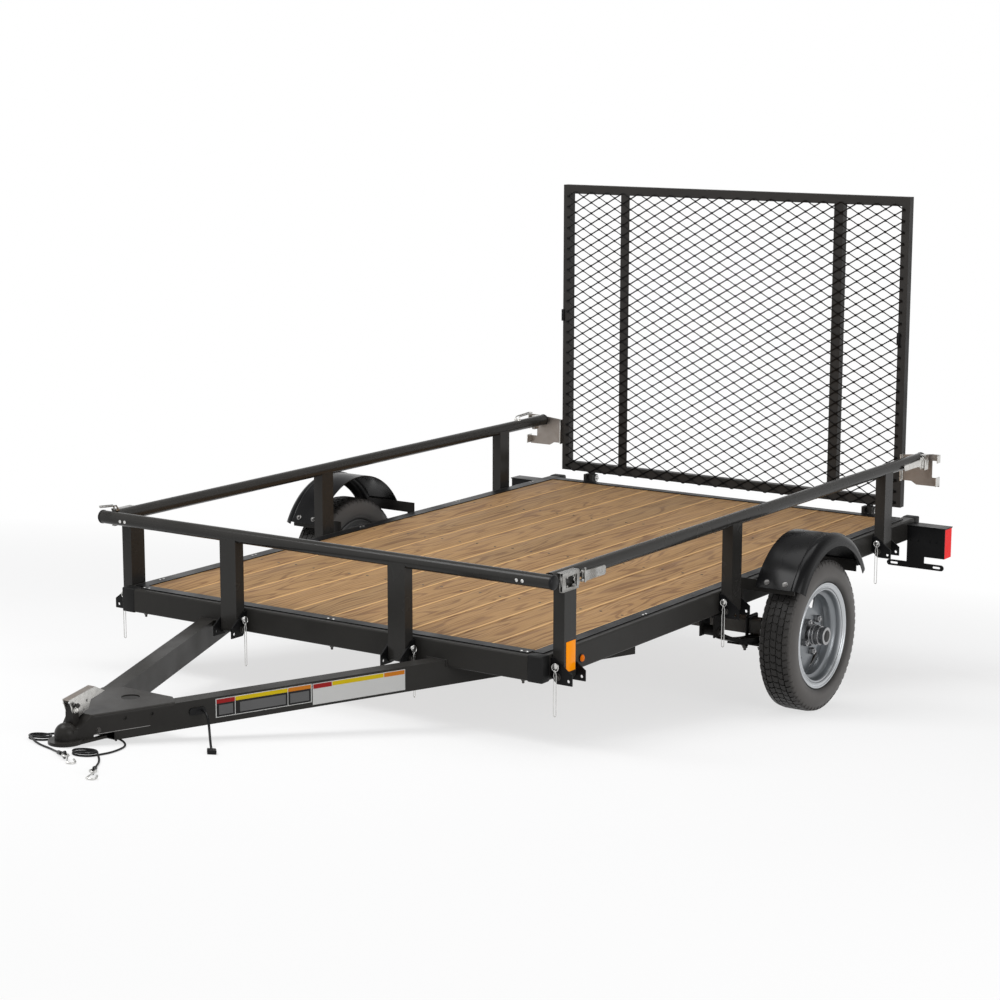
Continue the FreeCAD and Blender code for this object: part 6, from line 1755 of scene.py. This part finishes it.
@dataclass
class GateTrim:
    """The gate's stile pads, catch tabs, tube walls and hinge washers."""

    back: float = -94.0
    front: float = -66.2
    wall: float = 2.6
    stile_inner: float = 720.2
    half_width: float = 748.0
    catch_back: float = -66.0
    pin_ahead: float = -82.0
    pin_aside: float = 620.0
    pin_up: float = 8.0
    lug_half: float = 21.0

    def pads(self) -> None:
        """Builds the rubber pads on the stiles."""
        stock = Stock()
        for aside in (-750.0, 724.0):
            stock.block((-62.4, aside - 6.0, 643.0), (-55.0, aside + 6.0, 690.0))
        stock.piece("stile_pads", Body.GATE, "black_plastic", PLASTIC, 40.0, 1.6)

    def tabs(self) -> None:
        """Builds the bent tabs at the catch plates' tips and their stiffening edge."""
        stock = Stock()
        for sign in SIGNS:
            for low, high, ahead in ((219.0, 248.0, -40.0), (132.0, 166.0, -32.0)):
                stock.side_block(sign, (self.catch_back, 902.4, low), (ahead, 905.8, high))
            stock.side_block(sign, (self.catch_back, 752.0, 138.0), (-46.0, 756.0, 238.0))
            stock.weld(at(-60.5, sign * 757.0, 142.0), at(-60.5, sign * 757.0, 232.0), 2.4, 7)
        stock.piece("catch_tabs", Body.GATE, "bare_steel", BRIGHT_STEEL, 40.0, 0.7, 1)

    def inner_walls(self) -> None:
        """Builds the inner and back walls that close the gate's frame to a tube."""
        stock = Stock()
        back, inner, wide = self.back, self.stile_inner, self.half_width
        for sign in SIGNS:
            stock.side_block(sign, (back, inner, 66.0), (self.front, inner + self.wall, 1157.0))
            stock.side_block(sign, (back - self.wall, inner, 37.0), (back, wide, 1186.0))
        for low, high, edge in ((1155.4, 1158.0, 1186.0), (65.0, 67.6, 37.0)):
            stock.block((back, -722.0, low), (self.front, 722.0, high))
            stock.block((back - self.wall, -wide, min(low, edge)), (back, wide, max(high, edge)))
        stock.piece("gate_tube_walls", Body.GATE, "gate_paint", GATE_CHARCOAL, 40.0)

    def hinges(self) -> None:
        """Builds a washer and the pin's end on both sides of each hinge."""
        stock = Stock()
        for sign in SIGNS:
            for way in SIGNS:
                face = at(self.pin_ahead, sign * self.pin_aside + way * self.lug_half, self.pin_up)
                stock.lathe([(0.0, 12.5), (1.0, 12.5)], face, face + at(0, way * 2.4, 0), 28)
                stock.lathe([(0.0, 7.0), (0.7, 7.0), (1.0, 5.2)], face, face + at(0, way * 9.0, 0), 20)
        stock.piece("gate_hinge_ends", Body.CHASSIS, "zinc_steel", ZINC, 40.0)

    def build(self) -> None:
        """Builds all of the gate's trim."""
        self.inner_walls()
        self.pads()
        self.tabs()
        self.hinges()


@dataclass
class Lamps:
    """The tail lamps' plates with holes and a top flange, and the number strip with its slots."""

    face: float = -7.0
    wall: float = 3.0
    outer: float = 961.0
    low: float = -130.0
    high: float = -18.0
    hole_up: float = -71.0
    holes: Sequence[float] = (827.0, 858.0, 905.0, 930.0)
    strip_middle: Flat = (846.0, -165.0)
    strip_length: float = 228.0
    strip_height: float = 22.0

    def plate(self, stock: Stock, outlines: Sequence[Sequence[Flat]]) -> None:
        """Adds a plate that faces the rear."""
        stock.prism(outlines, Plane.END, self.face, self.wall)

    def build(self) -> None:
        """Builds the plates that stand for the plain ones."""
        stock = Stock()
        for sign in SIGNS:
            outline = [(sign * aside, up) for aside, up in
                       ((SIDE_FACE, self.low), (self.outer, self.low), (self.outer, self.high),
                        (SIDE_FACE, self.high))]
            holes = [hole((sign * aside, self.hole_up), 4.4, 16) for aside in self.holes]
            self.plate(stock, [outline, *holes])
            stock.side_block(sign, (-66.0, SIDE_FACE, -18.4), (-1.0, 964.0, -15.0))
        aside, up = self.strip_middle
        slots = [slot_outline((aside + offset, up), 30.0, 8.0, 8) for offset in (-85.0, 85.0)]
        self.plate(stock, [slot_outline(self.strip_middle, self.strip_length, self.strip_height, 12), *slots])
        low, high = up + self.strip_height / 2 - 0.2, self.low + 0.2
        self.plate(stock, [[(SIDE_FACE, low), (881.0, low), (881.0, high), (SIDE_FACE, high)]])
        made = stock.piece("lamp_plates_with_holes", Body.CHASSIS, "bracket_paint", BLACK, 40.0, 0.35, 1)
        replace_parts(made, "lamp_plates")


@dataclass
class SpringHardware:
    """The bolts of the spring hangers and the nuts of the axle clamps."""

    eyes: Flat = (780.0, 1440.0)
    eye_up: float = -131.4
    clamps: Flat = (1067.0, 1153.0)
    clamp_sides: Flat = (755.5, 815.5)
    clamp_up: float = -245.0

    def build(self) -> None:
        """Builds every bolt and nut under the deck's sides."""
        stock = Stock()
        for sign in SIGNS:
            for ahead in self.eyes:
                stock.bolt(at(ahead, sign * 813.5, self.eye_up), at(0, sign, 0), 11.0)
                stock.bolt(at(ahead, sign * 757.5, self.eye_up), at(0, -sign, 0), 11.0, 5.0)
            for ahead in self.clamps:
                for aside in self.clamp_sides:
                    stock.bolt(at(ahead, sign * aside, self.clamp_up), at(0, 0, -1), 10.0, 8.0)
        stock.piece("spring_bolts", Body.CHASSIS, "bracket_paint", DARK_STEEL, 35.0)


@dataclass
class WheelTrim(WheelPart):
    """The lug nuts, the hub's bands and the cap's dark centre."""

    circle: float = 57.0
    seat: float = 976.5
    count: int = 5
    first: float = 54.0

    def nuts(self) -> None:
        """Builds five cone-seated nuts with their studs."""
        stock = Stock()
        for index in range(self.count):
            turn = math.radians(self.first + 360.0 / self.count * index)
            foot = self.axis(self.seat) + at(math.cos(turn), 0, math.sin(turn)) * self.circle
            stock.lathe([(0.0, 9.0), (1.0, 12.2)], foot, foot + self.way * 4.0, 24)
            stock.hexagon(foot + self.way * 3.5, self.way, 21.2, 13.4)
            stud = foot + self.way * 16.5
            stock.lathe([(0.0, 5.6), (0.8, 5.6), (1.0, 4.2)], stud, foot + self.way * 21.0, 16)
        stock.piece(f"lug_nuts_{self.side}", self.body, "zinc_steel", HUB_STEEL, 30.0)

    def hub(self) -> None:
        """Builds the hub's turned bands and the cap's dark centre."""
        stock = Stock()
        for low, high, outer in ((984.0, 988.0, 35.2), (996.0, 999.0, 34.4), (1010.0, 1016.0, 31.6),
                                 (1028.0, 1036.4, 29.6)):
            section = [(low, 20.0), (low, outer - 1.0), (low + 0.8, outer), (high - 0.8, outer),
                       (high, outer - 1.0), (high, 20.0)]
            stock.ring(section, self.axis(0), self.way, 48)
        stock.piece(f"hub_bands_{self.side}", self.body, "zinc_steel", HUB_STEEL, 30.0)
        plug = Stock()
        plug.lathe([(0.0, 20.4), (0.6, 20.4), (1.0, 17.0)], self.axis(1033.0), self.axis(1036.0), 32)
        plug.piece(f"hub_plug_{self.side}", self.body, "black_plastic", PLASTIC, 40.0)

    def build(self) -> None:
        """Builds all of this wheel's trim."""
        self.nuts()
        self.hub()


@dataclass
class PressedWheel(WheelPart):
    """A steel wheel: a rolled barrel with a stepped flange and a dished disc with five windows."""

    window_start: float = 87.0
    window_end: float = 130.0
    window_turn: float = math.radians(-8.0)
    windows: int = 5
    window_steps: int = 4
    spoke_steps: int = 8
    disc_thickness: float = 5.0
    dish_start: float = 76.0
    dish_width: float = 57.0
    hub_out: float = 9.0
    dish_depth: float = 16.0
    crown: float = 3.0
    stock: Stock = field(default_factory=Stock)

    def barrel(self) -> None:
        """Adds the barrel, from the outer flange's steps over the well to the inner flange."""
        curl = [(49.2, 159.2), (48.9, 171.0), (49.6, 175.0), (51.2, 176.4), (52.8, 175.6), (53.2, 173.4),
                (52.4, 171.2), (50.6, 170.0)]
        steps = [(49.6, 168.4), (49.4, 163.8), (51.0, 162.6), (51.3, 160.6), (50.0, 159.0), (46.8, 157.6),
                 (46.4, 154.8), (47.8, 153.6), (47.8, 151.8), (46.2, 150.6)]
        well = [(30.0, 149.0), (24.0, 147.0), (19.5, 141.6), (17.0, 135.0), (11.0, 132.4),
                (-14.0, 132.0), (-20.0, 136.0), (-24.0, 146.0), (-46.0, 150.5), (-50.0, 155.0),
                (-51.0, 170.0), (-53.0, 173.0), (-52.0, 176.0), (-49.5, 175.0), (-48.8, 159.2)]
        seat = [(-47.0, 156.6), (-26.0, 154.0), (-21.0, 146.8), (-17.0, 136.8), (10.0, 136.4),
                (14.0, 139.0), (20.5, 147.0), (27.0, 153.0), (46.0, 156.6)]
        self.stock.ring([*curl, *steps, *well, *seat], self.axis(WHEEL_ASIDE), self.way, 112)

    def dish(self, radius: float, spoke: float) -> float:
        """Gives how far the disc stands out of the wheel's middle plane.

        Args:
            radius: The distance from the axis.
            spoke: 0 at a window's middle line and 1 at a spoke's.

        Returns:
            The place along the axis, outwards.
        """
        share = min(1.0, max(0.0, (radius - self.dish_start) / self.dish_width))
        crown = self.crown * math.sin(math.pi * share) * max(0.0, spoke) ** 2
        return self.hub_out - self.dish_depth * share ** 0.85 + crown

    def half_window(self, radius: float) -> float:
        """Gives half of a window's angle at a distance from the axis."""
        share = min(1.0, max(0.0, (radius - self.window_start) / (self.window_end - self.window_start)))
        return (11.0 + 32.0 * share) / max(radius, self.window_start)

    def rim(self, radius: float) -> list[Vector]:
        """Gives one ring of the disc's points, in steps over each window and each spoke.

        Args:
            radius: The distance from the axis.

        Returns:
            The ring's points.
        """
        half, sector = self.half_window(radius), math.tau / self.windows
        points = []
        for index in range(self.windows):
            turns = [(-half + 2 * half * step / self.window_steps, 0.0) for step in range(self.window_steps)]
            for step in range(self.spoke_steps):
                part = step / self.spoke_steps
                turns.append((half + (sector - 2 * half) * part, math.sin(math.pi * part)))
            for turn, spoke in turns:
                out = round_axle(self.window_turn + index * sector + turn) * radius
                points.append(self.axis(WHEEL_ASIDE + self.dish(radius, spoke)) + out)
        return points

    def disc(self) -> None:
        """Adds the disc, with its windows left open."""
        radii = [42.0, 50.0, 62.0, 72.0, 78.0, 83.0, self.window_start, 96.0, 104.0, 112.0, 121.0,
                 self.window_end, 131.5, 134.0]
        sector = self.window_steps + self.spoke_steps
        whole = self.windows * sector
        rows = [self.stock.facet(self.rim(radius)) for radius in radii]
        made = []
        for low, high, radius in zip(rows, rows[1:], radii):
            for step in range(whole):
                if step % sector < self.window_steps and self.window_start <= radius < self.window_end:
                    continue
                after = (step + 1) % whole
                made.append(self.stock.mesh.faces.new((low[step], high[step], high[after], low[after])))
        bmesh.ops.recalc_face_normals(self.stock.mesh, faces=made)
        bmesh.ops.solidify(self.stock.mesh, geom=made, thickness=self.disc_thickness)

    def build(self) -> None:
        """Builds the wheel and hides its plain solid."""
        self.disc()
        self.barrel()
        made = self.stock.piece(f"pressed_wheel_{self.side}", self.body, "wheel_silver", WHEEL_SILVER, 34.0)
        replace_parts(made, f"wheel_rim_{self.side}")


@dataclass
class CouplerLatch:
    """The coupler's lever: a folded channel on a pivot, with holes in its cheeks."""

    half_width: float = 11.0
    wall: float = 2.2
    pivot: tuple[float, float] = (3552.0, -34.0)

    def build(self) -> None:
        """Builds the lever and hides its plain solid."""
        cheek = [(3575.0, -3.0), (3475.0, 14.5), (3438.0, -5.0), (3492.0, -18.0), (3503.0, -41.0),
                 (3556.0, -62.0)]
        rounds = [hole(middle, radius, sides) for middle, radius, sides in
                  (((3551.0, -20.0), 3.6, 16), ((3508.0, -17.0), 3.8, 16), ((3521.0, -41.0), 3.0, 14))]
        stock = Stock()
        for sign in SIGNS:
            stock.prism([cheek, *rounds], Plane.SIDE, sign * self.half_width, sign * self.wall)
        for sign in SIGNS:
            face = at(self.pivot[0], sign * (self.half_width + self.wall), self.pivot[1])
            stock.bolt(face, at(0, sign, 0), 8.0, 2.0)
        stock.piece("latch_lever_cheeks", Body.CHASSIS, "zinc_steel", BRIGHT_STEEL, 40.0, 0.4, 1)
        folded = Stock()
        ridge = [(3575.0, -3.0), (3475.0, 14.5), (3438.0, -5.0), (3439.4, -7.4), (3475.0, 11.8),
                 (3574.4, -5.6)]
        folded.prism([ridge], Plane.SIDE, -self.half_width, 2 * self.half_width)
        made = folded.piece("latch_lever_top", Body.CHASSIS, "zinc_steel", BARE_STEEL, 40.0, 0.4, 1)
        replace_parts(made, "coupler_latch")


def main() -> None:
    """Builds every sub-assembly in order."""
    logging.basicConfig(level=logging.INFO, format="%(message)s")
    for part in (Studio, Cords, CadDress, Deck, GateMesh):
        part().build()
    for side, sign in SIDES:
        for part in (Tyre, Fender, PressedWheel, WheelTrim, RailTrim):
            part(side, sign).build()
    for part in (RailHardware, FrameTrim, TonguePanels, CouplerTrim, CouplerLatch, GateTrim, Lamps,
                 SpringHardware):
        part().build()


if __name__ == "__main__":
    main()
